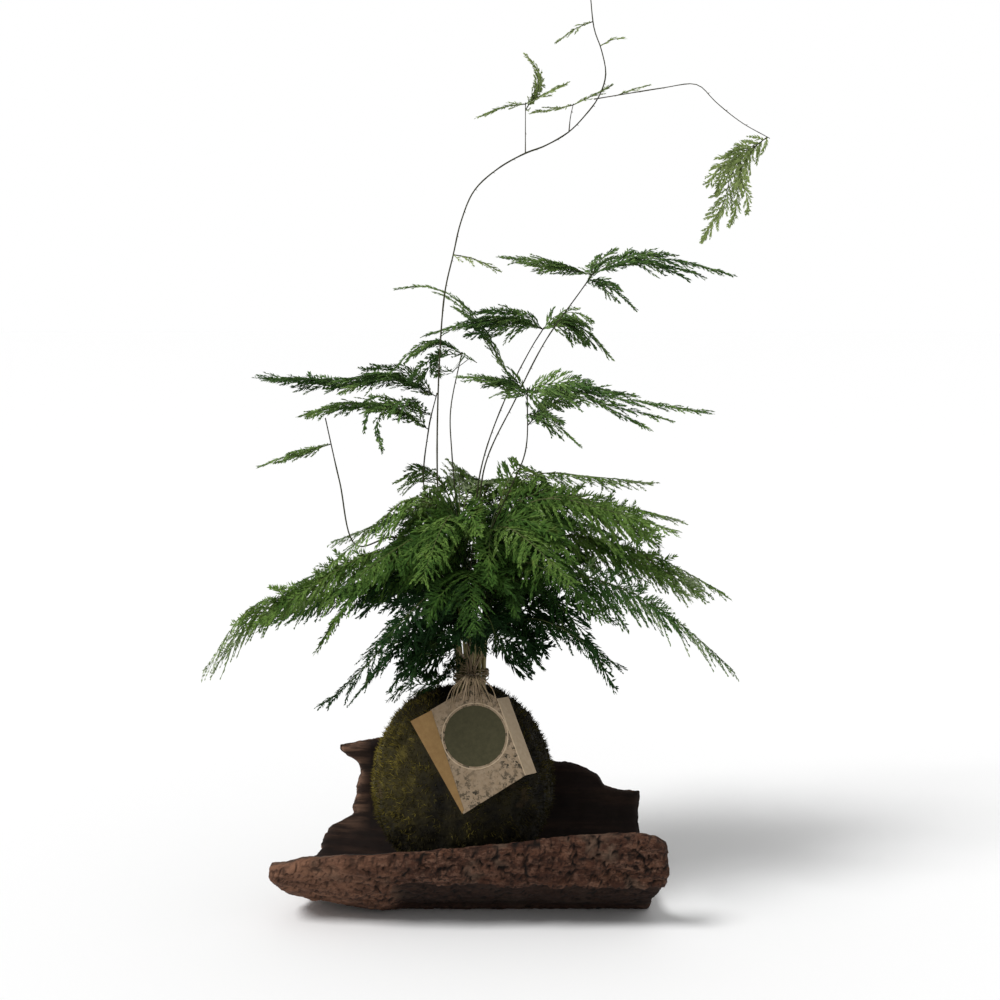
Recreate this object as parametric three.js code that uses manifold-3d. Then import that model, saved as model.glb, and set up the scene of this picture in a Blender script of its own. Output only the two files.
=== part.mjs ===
// Plumed fern growing from a moss ball, which lies in a curled trough of rough bark.
// Millimetres, +Z up. The front of the trough faces -Y. The origin is the middle of the
// flat spot under the trough, straight below the axis of the moss ball.

import * as THREE from 'three';
import { mergeVertices } from 'three/addons/utils/BufferGeometryUtils.js';
import Module from 'manifold-3d';

const wasm = await Module();
wasm.setup();

// Main sizes
const CLEARANCE = 0.3;
const BARK_RADIUS = 80;
const BARK_SINK = 4;
const BARK_THICK_FRONT = 12;
const BARK_THICK_BACK = 8.5;
const BARK_THICK_FLOOR = 9;
const BARK_LEFT_FRONT = -132;
const BARK_LEFT_BACK = -92;
const BARK_RIGHT_FRONT = 139;
const BARK_RIGHT_BACK = 130;
const BARK_LIFT_START = -50;
const BARK_LIFT = 14;
const BARK_LIFT_POWER = 1.2;
const BARK_RIM_FRONT = { xs: [-140, -108, -74, -34, 7, 120, 145], heights: [31, 45, 51, 55, 59.5, 70.5, 60] };
const BARK_RIM_BACK = {
  xs: [-100, -86, -60, 40, 66, 82, 100, 106, 135],
  heights: [94, 97, 101, 96, 82, 80, 71, 62, 57],
};
const BARK_FURROW = 1.9;
const BARK_PLATE = 1.5;
const BARK_FOOT_TURNS = [0.32, 0.6];
const BARK_UNDERCUT = 5;
const BARK_UNDERCUT_TURNS = [-1.02, -0.88, -0.42, -0.2];
const BARK_UNDERCUT_ENDS = [-56, -34];
const BARK_BITE = 19;
const BARK_BITE_TURNS = [0.69, 0.76, 0.9, 0.99];
const BARK_CORNER = 1.5;
const BARK_RAGGED = 3;
const BARK_TEETH = 9;
const BARK_EDGE = 1.8;
const BARK_CELLS_LONG = 24;
const BARK_CELLS_ROUND = 15;
const BALL_WIDE = 63.5;
const BALL_TALL = 70;
const BALL_HEIGHT = 86.6;
const MOSS_THICK = 8;
const MOSS_LUMP = 2.2;
const BALL_SIDES = 20;
const NECK_ANGLE = 0.33;
const STEM_RADIUS = 0.7;
const STEM_FOOT = 120;
const CROWN_X = 6;
const CROWN_TOP = 176;
const CROWN_RING_OUTER = 9.9;
const CROWN_RING_INNER = 6.9;
const SPRAY_START = 20;
const FROND_PITCH = 15;
const FREE_PITCH = 15;
const RIB_HALF = 0.8;
const RIB_DEPTH = 1.2;
const TWIG_ROOT = 0.6;
const TWIG_HALF = 0.85;
const TWIG_DEPTH = 0.6;
const TWIG_STAGGER = 1.8;
const SHORT_TWIG = 9;
const NEEDLED_SHARE = 0.42;
const NEEDLE_ROOT = 1.3;
const NEEDLE_REACH = 3.3;
const NEEDLE_RISE = 3;
const TIE_RADIUS = 12.4;
const TIE_STRAND = 1;
const TAIL_STRAND = 0.7;
const SPRAY_DROOP = 0.005;
const TALL_TILT = 12;
const SINK_OUT = [35, 115];
const CARD_THICK = 0.8;
const CARD_LEAN = 22;
const CARD_CENTRE = new THREE.Vector3(7, -58.6, 115);

// Materials
const bark = new THREE.MeshStandardMaterial({ color: 0x4a332a, roughness: 0.95, metalness: 0 });
const moss = new THREE.MeshStandardMaterial({ color: 0x4d5522, roughness: 0.95, metalness: 0 });
const soil = new THREE.MeshStandardMaterial({ color: 0x35271d, roughness: 0.95, metalness: 0 });
const leaf = new THREE.MeshStandardMaterial({ color: 0x3c6a24, roughness: 0.7, metalness: 0 });
const darkLeaf = new THREE.MeshStandardMaterial({ color: 0x2f5236, roughness: 0.7, metalness: 0 });
const raffia = new THREE.MeshStandardMaterial({ color: 0xb59a70, roughness: 0.85, metalness: 0 });
const kraft = new THREE.MeshStandardMaterial({ color: 0xb89b78, roughness: 0.85, metalness: 0 });

// Seeded random numbers and smooth noise
function seeded(seed) {
  let state = seed >>> 0;
  return () => {
    state = (state + 0x6d2b79f5) >>> 0;
    let mixed = Math.imul(state ^ (state >>> 15), state | 1);
    mixed ^= mixed + Math.imul(mixed ^ (mixed >>> 7), mixed | 61);
    return ((mixed ^ (mixed >>> 14)) >>> 0) / 4294967296;
  };
}

function latticeValue(i, j, k) {
  const wave = Math.sin(i * 127.1 + j * 311.7 + k * 74.7) * 43758.5453;
  return (wave - Math.floor(wave)) * 2 - 1;
}

function smoothNoise(x, y, z) {
  const [i, j, k] = [Math.floor(x), Math.floor(y), Math.floor(z)];
  const ease = (value) => value * value * (3 - 2 * value);
  const [u, v, w] = [ease(x - i), ease(y - j), ease(z - k)];
  let sum = 0;
  for (let corner = 0; corner < 8; corner += 1) {
    const [a, b, c] = [corner & 1, (corner >> 1) & 1, corner >> 2];
    const weight = (a ? u : 1 - u) * (b ? v : 1 - v) * (c ? w : 1 - w);
    sum += weight * latticeValue(i + a, j + b, k + c);
  }
  return sum;
}

// A smooth curve through a short table of values
function readTable(xs, ys, x) {
  const last = xs.length - 1;
  if (x >= xs[last]) {
    const endSlope = (ys[last] - ys[last - 1]) / (xs[last] - xs[last - 1]);
    return ys[last] + endSlope * (x - xs[last]);
  }
  let cell = 0;
  while (x > xs[cell + 1]) {
    cell += 1;
  }
  const slope = (i) => {
    const [low, high] = [Math.max(0, i - 1), Math.min(last, i + 1)];
    return (ys[high] - ys[low]) / (xs[high] - xs[low]);
  };
  const span = xs[cell + 1] - xs[cell];
  const t = (x - xs[cell]) / span;
  const [t2, t3] = [t * t, t * t * t];
  return ys[cell] * (2 * t3 - 3 * t2 + 1) + ys[cell + 1] * (3 * t2 - 2 * t3)
    + span * (slope(cell) * (t3 - 2 * t2 + t) + slope(cell + 1) * (t3 - t2));
}

const mix = THREE.MathUtils.lerp;
const toRadians = THREE.MathUtils.degToRad;

// Closed geometry to solid and back
function mergedGeometry(geometry) {
  const plain = geometry.clone();
  plain.deleteAttribute('normal');
  plain.deleteAttribute('uv');
  return mergeVertices(plain, 1e-4);
}

function toSolid(geometry) {
  const merged = mergedGeometry(geometry);
  return new wasm.Manifold(new wasm.Mesh({
    numProp: 3,
    vertProperties: new Float32Array(merged.attributes.position.array),
    triVerts: new Uint32Array(merged.index.array),
  }));
}

function toGeometry(solid) {
  const mesh = solid.getMesh();
  const geometry = new THREE.BufferGeometry();
  geometry.setAttribute('position', new THREE.BufferAttribute(mesh.vertProperties, 3));
  geometry.setIndex(new THREE.BufferAttribute(mesh.triVerts, 1));
  geometry.computeVertexNormals();
  return geometry;
}

function fuse(geometries) {
  const [first, ...rest] = geometries.map(toSolid);
  return rest.reduce((whole, next) => whole.add(next), first);
}

function polygonShape(radius, sides) {
  const corners = [];
  for (let i = 0; i < sides; i += 1) {
    const turn = (i / sides) * Math.PI * 2;
    corners.push(new THREE.Vector2(radius * Math.cos(turn), radius * Math.sin(turn)));
  }
  return new THREE.Shape(corners);
}

function smoothWire(points) {
  return new THREE.CatmullRomCurve3(points.map((p) => new THREE.Vector3(...p)));
}

function tubeAlong(curve, radius, steps, sides = 4) {
  return new THREE.ExtrudeGeometry(polygonShape(radius, sides), { steps, extrudePath: curve });
}

// Bark trough: one curled piece, a box grid bent round by formula
function barkLift(x) {
  const along = Math.max(0, (BARK_LIFT_START - x) / (BARK_LIFT_START - BARK_LEFT_FRONT));
  return BARK_LIFT * along ** BARK_LIFT_POWER;
}

function barkRelief(x, turn) {
  const furrow = BARK_FURROW * smoothNoise(x / 34, turn * 7, 3);
  const plate = BARK_PLATE * smoothNoise(x / 13, turn * 9, 9);
  const offFoot = THREE.MathUtils.smoothstep(Math.abs(turn), ...BARK_FOOT_TURNS);
  return (furrow + plate) * offFoot - barkUndercut(x, turn);
}

// Under the front wall the outer layer has broken away
function barkUndercut(x, turn) {
  const [top, full, foot, end] = BARK_UNDERCUT_TURNS;
  const { smoothstep } = THREE.MathUtils;
  return BARK_UNDERCUT * smoothstep(turn, top, full) * (1 - smoothstep(turn, foot, end))
    * smoothstep(x, ...BARK_UNDERCUT_ENDS);
}

// At the left end a wide bite is torn out of the back wall
function barkBite(round) {
  const [low, full, fade, high] = BARK_BITE_TURNS;
  const { smoothstep } = THREE.MathUtils;
  return smoothstep(round, low, full) * (1 - smoothstep(round, fade, high));
}

function barkInnerRelief(x, turn) {
  return 0.5 * smoothNoise(x / 20, turn * 5, 21);
}

function bump(value, centre, width) {
  return Math.exp(-(((value - centre) / width) ** 2));
}

function barkEnds(round) {
  const torn = BARK_BITE * barkBite(round) - BARK_CORNER * bump(round, 1, 0.04);
  const ragged = (seed) => BARK_RAGGED * smoothNoise(round * BARK_TEETH, seed, 5);
  const left = mix(BARK_LEFT_FRONT, BARK_LEFT_BACK, round) + torn + ragged(1);
  const right = mix(BARK_RIGHT_FRONT, BARK_RIGHT_BACK, round) + ragged(4);
  return [left, right];
}

function barkPoint(along, round, depth) {
  const x = mix(...barkEnds(round), along);
  const lift = barkLift(x);
  const turnAt = ({ xs, heights }) => (
    Math.acos(1 - (readTable(xs, heights, x) + BARK_SINK - lift) / BARK_RADIUS)
  );
  const turn = mix(-turnAt(BARK_RIM_FRONT), turnAt(BARK_RIM_BACK), round);
  const thick = mix(BARK_THICK_FRONT, BARK_THICK_BACK, round) + BARK_THICK_FLOOR * bump(turn, 0, 0.55);
  const atEdge = Math.min(along, 1 - along, round, 1 - round) < 1e-6;
  const rounding = atEdge ? BARK_EDGE * Math.sign(0.5 - depth) : 0;
  const relief = mix(barkInnerRelief(x, turn), barkRelief(x, turn), depth);
  const reach = BARK_RADIUS - (1 - depth) * thick + relief + rounding;
  const z = BARK_RADIUS + lift - BARK_SINK - reach * Math.cos(turn);
  return new THREE.Vector3(x, reach * Math.sin(turn), Math.max(0, z));
}

function barkTrough() {
  const grid = new THREE.BoxGeometry(1, 1, 1, BARK_CELLS_LONG, BARK_CELLS_ROUND, 2);
  const spots = grid.attributes.position;
  for (let i = 0; i < spots.count; i += 1) {
    const [along, round, depth] = [spots.getX(i) + 0.5, spots.getY(i) + 0.5, 0.5 - spots.getZ(i)];
    spots.setXYZ(i, ...barkPoint(along, round, depth).toArray());
  }
  return toGeometry(toSolid(grid));
}

// Moss ball: a lumpy shell of moss round a ball of soil
function ballPoint(angle, wide, tall) {
  return new THREE.Vector2(wide * Math.sin(angle), BALL_HEIGHT + tall * Math.cos(angle));
}

function mossLumps(x, y, z) {
  const broad = smoothNoise(x / 21, y / 21, z / 21);
  const fine = smoothNoise(x / 9, y / 9, z / 9);
  return MOSS_LUMP * (0.6 * broad + 0.6 * fine);
}

function mossJacket() {
  const rows = 12;
  const innerRows = 7;
  const innerWide = BALL_WIDE - MOSS_THICK;
  const innerTall = BALL_TALL - MOSS_THICK;
  const profile = [];
  for (let i = 0; i <= rows; i += 1) {
    profile.push(ballPoint(mix(Math.PI, NECK_ANGLE, i / rows), BALL_WIDE, BALL_TALL));
  }
  for (let i = 0; i <= innerRows; i += 1) {
    profile.push(ballPoint(mix(NECK_ANGLE, Math.PI, i / innerRows), innerWide, innerTall));
  }
  profile[0].x = 0;
  profile[profile.length - 1].x = 0;
  const geometry = new THREE.LatheGeometry(profile, BALL_SIDES).rotateX(Math.PI / 2);
  const spots = geometry.attributes.position;
  for (let i = 0; i < spots.count; i += 1) {
    const [x, y, z] = [spots.getX(i), spots.getY(i), spots.getZ(i)];
    const out = Math.hypot(x / BALL_WIDE, y / BALL_WIDE, (z - BALL_HEIGHT) / BALL_TALL);
    const swell = out > 0.97 ? 1 + mossLumps(x, y, z) / BALL_WIDE : 1;
    spots.setXYZ(i, x * swell, y * swell, BALL_HEIGHT + (z - BALL_HEIGHT) * swell);
  }
  return geometry;
}

function soilBall(stemFeet) {
  const rows = 7;
  const profile = [];
  for (let i = 0; i <= rows; i += 1) {
    const angle = mix(Math.PI, NECK_ANGLE, i / rows);
    profile.push(ballPoint(angle, BALL_WIDE - MOSS_THICK - CLEARANCE, BALL_TALL - MOSS_THICK - CLEARANCE));
  }
  profile[0].x = 0;
  profile.push(new THREE.Vector2(0, profile[rows].y + 3));
  const geometry = new THREE.LatheGeometry(profile, BALL_SIDES).rotateX(Math.PI / 2);
  let ball = toSolid(geometry);
  for (const [x, y] of stemFeet) {
    const holeRadius = (STEM_RADIUS + CLEARANCE) * Math.SQRT2;
    const hole = new THREE.CylinderGeometry(holeRadius, holeRadius, 60, 4);
    hole.rotateX(Math.PI / 2).translate(x, y, STEM_FOOT + 30 - CLEARANCE);
    ball = ball.subtract(toSolid(hole));
  }
  return toGeometry(ball);
}

// Foliage canopy: nested umbrella surfaces, so that no frond crosses another
const OUT = [0, 20, 45, 70, 100, 130, 160, 190, 220];
const CANOPY = [
  { low: [176, 190, 200, 204, 197, 178, 146, 108, 80], high: [230, 280, 303, 307, 303, 300, 298, 298, 296] },
  { low: [176, 190, 206, 206, 197, 185, 172, 158, 142], high: [230, 280, 305, 309, 306, 302, 296, 288, 278] },
  { low: [176, 188, 202, 200, 192, 180, 164, 125, 80], high: [230, 284, 299, 286, 270, 257, 240, 190, 130] },
  { low: [176, 190, 203, 204, 197, 186, 173, 160, 146], high: [230, 280, 297, 293, 280, 264, 248, 232, 215] },
];

function canopyHeight(out, around, level) {
  let height = 0;
  for (let quarter = 0; quarter < 4; quarter += 1) {
    const weight = Math.max(0, Math.cos(around - quarter * Math.PI / 2)) ** 2;
    const { low, high } = CANOPY[quarter];
    height += weight * mix(readTable(OUT, low, out), readTable(OUT, high, out), level);
  }
  return height;
}

// Spray: a thin three-sided rib with side twigs and needles, drawn flat and then bent.
// A ring of top points runs round its outline, and each knows the keel point under it.
const FREE_TIP = -1;

class SprayPlan {
  constructor(seed) {
    this.ring = [];
    this.keels = [];
    this.top = [];
    this.random = seeded(seed);
  }

  jitter(size) {
    return (this.random() - 0.5) * size;
  }

  point({ x, y }, keel) {
    return this.ring.push({ x, y, keel, rise: 0 }) - 1;
  }

  tip({ x, y }) {
    return this.ring.push({ x, y, keel: FREE_TIP, rise: this.jitter(NEEDLE_RISE) }) - 1;
  }

  keel({ x, y }, depth) {
    return this.keels.push({ x, y, depth }) - 1;
  }

  cover(...corners) {
    for (let i = 1; i + 1 < corners.length; i += 1) {
      const [a, b, c] = [corners[0], corners[i], corners[i + 1]].map((corner) => this.ring[corner]);
      const turn = (b.x - a.x) * (c.y - a.y) - (c.x - a.x) * (b.y - a.y);
      const face = [corners[0], corners[i], corners[i + 1]];
      this.top.push(turn > 0 ? face : face.reverse());
    }
  }
}

function drawTwig(plan, { side, x, ribHalf, ribKeel, size, lean, needled }) {
  const along = new THREE.Vector2(Math.cos(lean), side * Math.sin(lean));
  const across = new THREE.Vector2(Math.sin(lean), -side * Math.cos(lean));
  const root = new THREE.Vector2(x, side * ribHalf);
  const place = (far, wide) => root.clone().addScaledVector(along, far).addScaledVector(across, wide);
  const far = size * 0.5 + plan.jitter(size * 0.2);
  const keel = needled ? plan.keel(place(far + NEEDLE_ROOT / 2, 0), TWIG_DEPTH) : ribKeel;
  const needle = (edge) => [
    () => plan.point(place(far, edge * TWIG_HALF), keel),
    () => plan.tip(place(far + NEEDLE_REACH, edge * (TWIG_HALF + NEEDLE_REACH))),
    () => plan.point(place(far + NEEDLE_ROOT, edge * TWIG_HALF), keel),
  ];
  const draw = (steps) => steps.map((step) => step());
  const firstRoot = plan.point(new THREE.Vector2(x + side * TWIG_ROOT, root.y), ribKeel);
  const outward = needled ? draw(needle(side)) : [];
  const end = plan.tip(place(size, 0));
  const inward = needled ? draw(needle(-side).reverse()) : [];
  const lastRoot = plan.point(new THREE.Vector2(x - side * TWIG_ROOT, root.y), ribKeel);
  if (needled) {
    const [nearOut, , nextOut] = outward;
    const [nextIn, , nearIn] = inward;
    plan.cover(...outward);
    plan.cover(...inward);
    plan.cover(firstRoot, nearOut, nearIn, lastRoot);
    plan.cover(nearOut, nextOut, nextIn, nearIn);
    plan.cover(nextOut, end, nextIn);
  } else {
    plan.cover(firstRoot, end, lastRoot);
  }
  return [firstRoot, lastRoot];
}

function drawSpray({ length, reach, pairs, seed }) {
  const plan = new SprayPlan(seed);
  const ribHalf = (x) => mix(RIB_HALF, 0.45 * RIB_HALF, x / length);
  const pitch = length / (pairs + 0.6);
  const onRib = (x, across = 0) => new THREE.Vector2(x, across);
  const startKeel = plan.keel(onRib(0), RIB_DEPTH);
  const joints = [];
  for (let i = 0; i < pairs; i += 1) {
    const x = pitch * (i + 0.55) + plan.jitter(pitch * 0.2);
    joints.push({ x, keel: plan.keel(onRib(x + TWIG_STAGGER / 2), mix(RIB_DEPTH, TWIG_DEPTH, i / pairs)) });
  }
  const twig = (side, joint) => {
    const x = joint.x + (side > 0 ? TWIG_STAGGER : 0);
    const s = x / length;
    const size = reach * Math.min(1, 0.62 + 1.6 * s) * (1 - 0.74 * s ** 1.6) * (1 + plan.jitter(0.22));
    const lean = toRadians(mix(66, 40, s) + plan.jitter(10));
    const needled = size > SHORT_TWIG && plan.random() < NEEDLED_SHARE;
    return drawTwig(plan, { side, x, ribHalf: ribHalf(x), ribKeel: joint.keel, size, lean, needled });
  };
  const rightStart = plan.point(onRib(0, -0.7 * RIB_HALF), startKeel);
  const right = joints.map((joint) => twig(-1, joint));
  const tip = plan.tip(onRib(length));
  const left = [...joints].reverse().map((joint) => twig(1, joint).reverse()).reverse();
  const leftStart = plan.point(onRib(0, 0.7 * RIB_HALF), startKeel);
  let [lastRight, lastLeft] = [rightStart, leftStart];
  right.forEach(([nearRight, nextRight], i) => {
    const [nearLeft, nextLeft] = left[i];
    plan.cover(lastRight, nearRight, nearLeft, lastLeft);
    plan.cover(nearRight, nextRight, nextLeft, nearLeft);
    [lastRight, lastLeft] = [nextRight, nextLeft];
  });
  plan.cover(lastRight, tip, lastLeft);
  return plan;
}

function sprayGeometry({ ring, keels, top }, bend) {
  const positions = [
    ...ring.flatMap(({ x, y, rise }) => bend(x, y, rise)),
    ...keels.flatMap(({ x, y, depth }) => bend(x, y, -depth)),
  ];
  const index = top.flat();
  const under = (i) => (ring[i].keel === FREE_TIP ? i : ring.length + ring[i].keel);
  ring.forEach((here, i) => {
    const next = (i + 1) % ring.length;
    const wall = [...new Set([next, i, under(i), under(next)])];
    for (let k = 1; k + 1 < wall.length; k += 1) {
      index.push(wall[0], wall[k], wall[k + 1]);
    }
  });
  const geometry = new THREE.BufferGeometry();
  geometry.setAttribute('position', new THREE.Float32BufferAttribute(positions, 3));
  geometry.setIndex(index);
  return geometry;
}

// Bush fronds: way round in degrees, level in the canopy, reach of the tip, width, sway,
// how the twigs droop and hang at the sides, and how far the frond sinks towards its tip
const FRONDS = [
  [352, 0.32, 184, 31, -8, 0.02, 0.7, 0], [6, 0.56, 184, 30, 6, 0.018, 0.6, 0],
  [20, 0.8, 166, 30, 6, 0.012, 0.35, 0], [34, 0.96, 172, 30, 10, 0.014, 0.25, 0],
  [48, 0.64, 158, 29, -6, 0.012, 0.25, 0], [62, 0.16, 150, 28, 6, 0.015, 0.25, 0],
  [76, 0.88, 168, 30, -8, 0.012, 0.25, 0], [90, 0.4, 165, 29, 8, 0.012, 0.25, 0],
  [103, 0.72, 168, 29, -6, 0.012, 0.25, 0], [117, 0.24, 160, 28, 8, 0.015, 0.25, 0],
  [129, 1, 92, 24, -6, 0.012, 0.25, 0], [145, 0.52, 163, 29, 6, 0.015, 0.25, 0],
  [156, 0.76, 116, 24, -8, 0.012, 0.3, 0], [172, 0.36, 150, 29, -8, 0.015, 0.45, 0],
  [187, 0.6, 188, 30, 8, 0.02, 0.6, 0], [204, 0.92, 106, 22, 6, 0.014, 0.35, 14],
  [214, 0.04, 118, 24, -6, 0.02, 0.3, 34], [227, 0.68, 142, 28, 6, 0.012, 0.3, 0],
  [241, 0.28, 124, 26, -8, 0.012, 0.25, 12], [255, 0.84, 132, 28, 6, 0.012, 0.25, 0],
  [269, 0.44, 138, 28, 8, 0.012, 0.25, 0], [283, 0.12, 112, 25, -6, 0.012, 0.2, 0],
  [297, 0.74, 138, 28, 6, 0.012, 0.25, 0], [311, 0.48, 142, 28, -8, 0.012, 0.3, 0],
  [325, 0.08, 120, 26, 6, 0.014, 0.25, 14], [339, 0.86, 150, 29, -6, 0.014, 0.35, 0],
];

function crownRing(slot) {
  return slot % 2 ? CROWN_RING_OUTER : CROWN_RING_INNER;
}

function crownFoot(slot) {
  const ring = crownRing(slot);
  const around = toRadians(FRONDS[slot][0]);
  return [CROWN_X + ring * Math.cos(around), ring * Math.sin(around)];
}

function bushFrond(slot) {
  const [degrees, level, reachOut, width, sway, droop, hang, sink] = FRONDS[slot];
  const around = toRadians(degrees);
  const ring = crownRing(slot);
  const radial = (out, height) => [CROWN_X + out * Math.cos(around), out * Math.sin(around), height];
  const bend = (x, y, rise) => {
    const length = reachOut - SPRAY_START;
    const out = SPRAY_START + x;
    const wide = y + sway * (x / length) ** 2;
    const px = out * Math.cos(around) - wide * Math.sin(around);
    const py = out * Math.sin(around) + wide * Math.cos(around);
    const [far, way] = [Math.hypot(px, py), Math.atan2(py, px)];
    const slope = (canopyHeight(far + 1, way, level) - canopyHeight(far - 1, way, level)) / 2;
    const hanging = droop * y * y + hang * Math.abs(y) * mix(0.3, 1, x / length)
      + sink * THREE.MathUtils.smoothstep(far, ...SINK_OUT);
    return [CROWN_X + px, py, canopyHeight(far, way, level) + rise * Math.hypot(1, slope) - hanging];
  };
  const stem = tubeAlong(smoothWire([
    radial(ring, STEM_FOOT),
    radial(ring, 150),
    radial(ring + 0.3, CROWN_TOP),
    radial(mix(18, 13, level), mix(192, 240, level)),
    radial(SPRAY_START, bend(0, 0, 0)[2] - 0.3),
    radial(SPRAY_START + 5, bend(5, 0, 0)[2] - 0.3),
  ]), STEM_RADIUS, 8);
  const length = reachOut - SPRAY_START;
  const plan = drawSpray({ length, reach: width, pairs: Math.round(length / FROND_PITCH), seed: 100 + slot });
  return toGeometry(fuse([stem, sprayGeometry(plan, bend)]));
}

// Sprays on the tall stems follow a curve in space, with their twigs spread to one given side
const TILTED_SIDE = [0, Math.cos(toRadians(TALL_TILT)), Math.sin(toRadians(TALL_TILT))];

function freeSpray({ path, width, side = TILTED_SIDE }, wires, seed) {
  const points = path.map((p) => new THREE.Vector3(...p));
  points[0] = nearestOnWires(points[0], wires);
  const curve = new THREE.CatmullRomCurve3(points);
  const length = curve.getLength();
  const across = new THREE.Vector3(...side);
  const faceUp = curve.getTangentAt(0.5).cross(across).z < 0 ? -1 : 1;
  const bend = (x, y, rise) => {
    const t = THREE.MathUtils.clamp(x / length, 0, 1);
    const tangent = curve.getTangentAt(t);
    const sideways = across.clone().addScaledVector(tangent, -across.dot(tangent));
    sideways.normalize().multiplyScalar(faceUp);
    const normal = tangent.clone().cross(sideways);
    const spot = curve.getPointAt(t).addScaledVector(tangent, x - t * length);
    return spot.addScaledVector(sideways, y).addScaledVector(normal, rise - SPRAY_DROOP * y * y).toArray();
  };
  const pairs = Math.max(3, Math.round(length / FREE_PITCH));
  return sprayGeometry(drawSpray({ length, reach: width, pairs, seed }), bend);
}

function nearestOnWires(point, wires) {
  const spots = wires.flatMap((wire) => wire.getSpacedPoints(200));
  return spots.reduce((best, spot) => (
    spot.distanceToSquared(point) < best.distanceToSquared(point) ? spot : best
  ));
}

// Tall wiry stems, each with its sprays
const TALL_STEMS = {
  tall_stem_climber: {
    foot: [-3.6, 0],
    run: [
      [-1, -3, 200], [-9, -3, 250], [-16, -6, 284], [-12, -11, 426], [-5, -12, 459], [0, -11, 480],
      [9, -9, 501], [25, -5, 516], [44, 0, 527], [57, 2, 532], [74, 5, 542], [85, 5, 553],
      [94, 5, 565], [99, 5, 580], [96, 5, 597], [91, 5, 611], [88, 5, 636],
    ],
    twigs: [
      [[44, 0, 527], [44, 0, 545], [44, -1, 561]],
      [[74, 5, 542], [75, 5, 552], [77, 5, 561]],
      [
        [91, 5, 564], [108, 7, 567], [138, 9, 572], [159, 10, 575], [165, 10, 573], [175, 10, 563],
        [193, 10, 549], [213, 10, 538],
      ],
    ],
    sprays: [
      { path: [[-5, -12, 457], [8, -14, 455], [27, -18, 446]], width: 12 },
      { path: [[44, -1, 560], [57, 0, 567], [72, 2, 574]], width: 14 },
      { path: [[44, -1, 560], [30, -2, 558], [12, -5, 551]], width: 14 },
      { path: [[44, -1, 556], [53, 2, 572], [52, 4, 584], [43, 5, 595]], width: 9, side: [0.6, 0.8, 0] },
      { path: [[77, 5, 560], [91, 7, 567], [104, 10, 574]], width: 12 },
      { path: [[77, 5, 560], [64, 3, 557], [48, 0, 554]], width: 12 },
      { path: [[95, 5, 599], [103, 7, 604], [112, 9, 606]], width: 9 },
      { path: [[90, 5, 615], [78, 4, 611], [64, 2, 601]], width: 10 },
      { path: [[88, 5, 633], [85, 5, 642], [79, 4, 652]], width: 9, side: [1, 0, 0] },
      { path: [[108, 7, 566], [118, 8, 571], [130, 9, 574]], width: 7 },
      {
        path: [[211, 10, 539], [195, 9, 526], [186, 8, 512], [182, 8, 496], [166, 5, 467]],
        width: 20,
        side: [1, 0.2, 0.1],
      },
    ],
  },
  tall_stem_right_high: {
    foot: [3.6, 0],
    run: [
      [5, 0, 200], [11, -1, 260], [16, -2, 312], [37, -5, 358], [58, -5, 399], [82, -5, 433], [92, -5, 447],
    ],
    twigs: [],
    sprays: [
      { path: [[91, -5, 446], [120, -2, 455], [150, 6, 454], [188, 14, 445]], width: 26 },
      { path: [[90, -5, 444], [66, -8, 450], [46, -12, 454], [27, -16, 456]], width: 24 },
      { path: [[88, -5, 441], [100, -22, 436], [118, -36, 420]], width: 16 },
      { path: [[88, -5, 441], [98, 16, 456], [110, 34, 464]], width: 16 },
    ],
  },
  tall_stem_middle: {
    foot: [1.8, 3.1],
    run: [[3, 5, 200], [8, 9, 260], [13, 12, 308], [27, 22, 350], [48, 32, 392], [58, 35, 408]],
    twigs: [],
    sprays: [
      { path: [[57, 34, 407], [36, 34, 413], [8, 35, 412], [-25, 36, 403]], width: 26 },
      { path: [[57, 34, 407], [74, 36, 412], [90, 40, 404], [106, 45, 387]], width: 24 },
      { path: [[36, 29, 368], [0, 52, 424], [-24, 58, 437], [-50, 62, 436]], width: 12 },
    ],
  },
  tall_stem_front: {
    foot: [1.8, -3.1],
    run: [[4, -6, 200], [18, -13, 262], [34, -22, 299], [44, -30, 325], [45, -36, 368]],
    twigs: [],
    sprays: [
      { path: [[45, -36, 366], [72, -37, 366], [104, -37, 361], [168, -32, 351]], width: 27 },
      { path: [[45, -36, 366], [30, -37, 371], [16, -38, 374], [2, -38, 375]], width: 24 },
      { path: [[45, -35, 350], [62, -52, 345], [80, -62, 330]], width: 16 },
      { path: [[45, -34, 342], [66, -16, 362], [86, -8, 372]], width: 14 },
    ],
  },
  tall_stem_left: {
    foot: [-1.8, 3.1],
    run: [[3, 7, 205], [2, 10, 238], [-7, 10, 264], [-26, 12, 290], [-24, 18, 336], [-18, 22, 362]],
    twigs: [],
    sprays: [
      { path: [[-18, 22, 360], [-50, 25, 373], [-90, 26, 370], [-145, 26, 373]], width: 27 },
      { path: [[-24, 18, 336], [-50, 8, 352], [-80, 2, 354], [-113, -2, 347]], width: 22 },
      { path: [[-22, 20, 346], [-44, -4, 356], [-58, -8, 346], [-55, -10, 322]], width: 9, side: [1, 0, 0] },
    ],
  },
  tall_stem_arc: {
    foot: [-1.8, -3.1],
    run: [[-1, -5, 200], [-2, -3, 260], [-7, 2, 320], [-8, 6, 350], [0, 8, 391]],
    twigs: [],
    sprays: [
      { path: [[0, 8, 389], [-16, 9, 398], [-34, 10, 392], [-52, 10, 375]], width: 16 },
    ],
  },
  tall_stem_far_left: {
    foot: [0, 0],
    run: [[-4, 1, 215], [-18, 1, 251], [-48, -1, 262], [-74, -1, 256], [-86, 4, 301], [-96, 9, 345]],
    twigs: [],
    sprays: [
      { path: [[-92, 8, 326], [-108, 6, 322], [-124, 3, 318], [-142, 0, 311]], width: 15 },
    ],
  },
};

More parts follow.
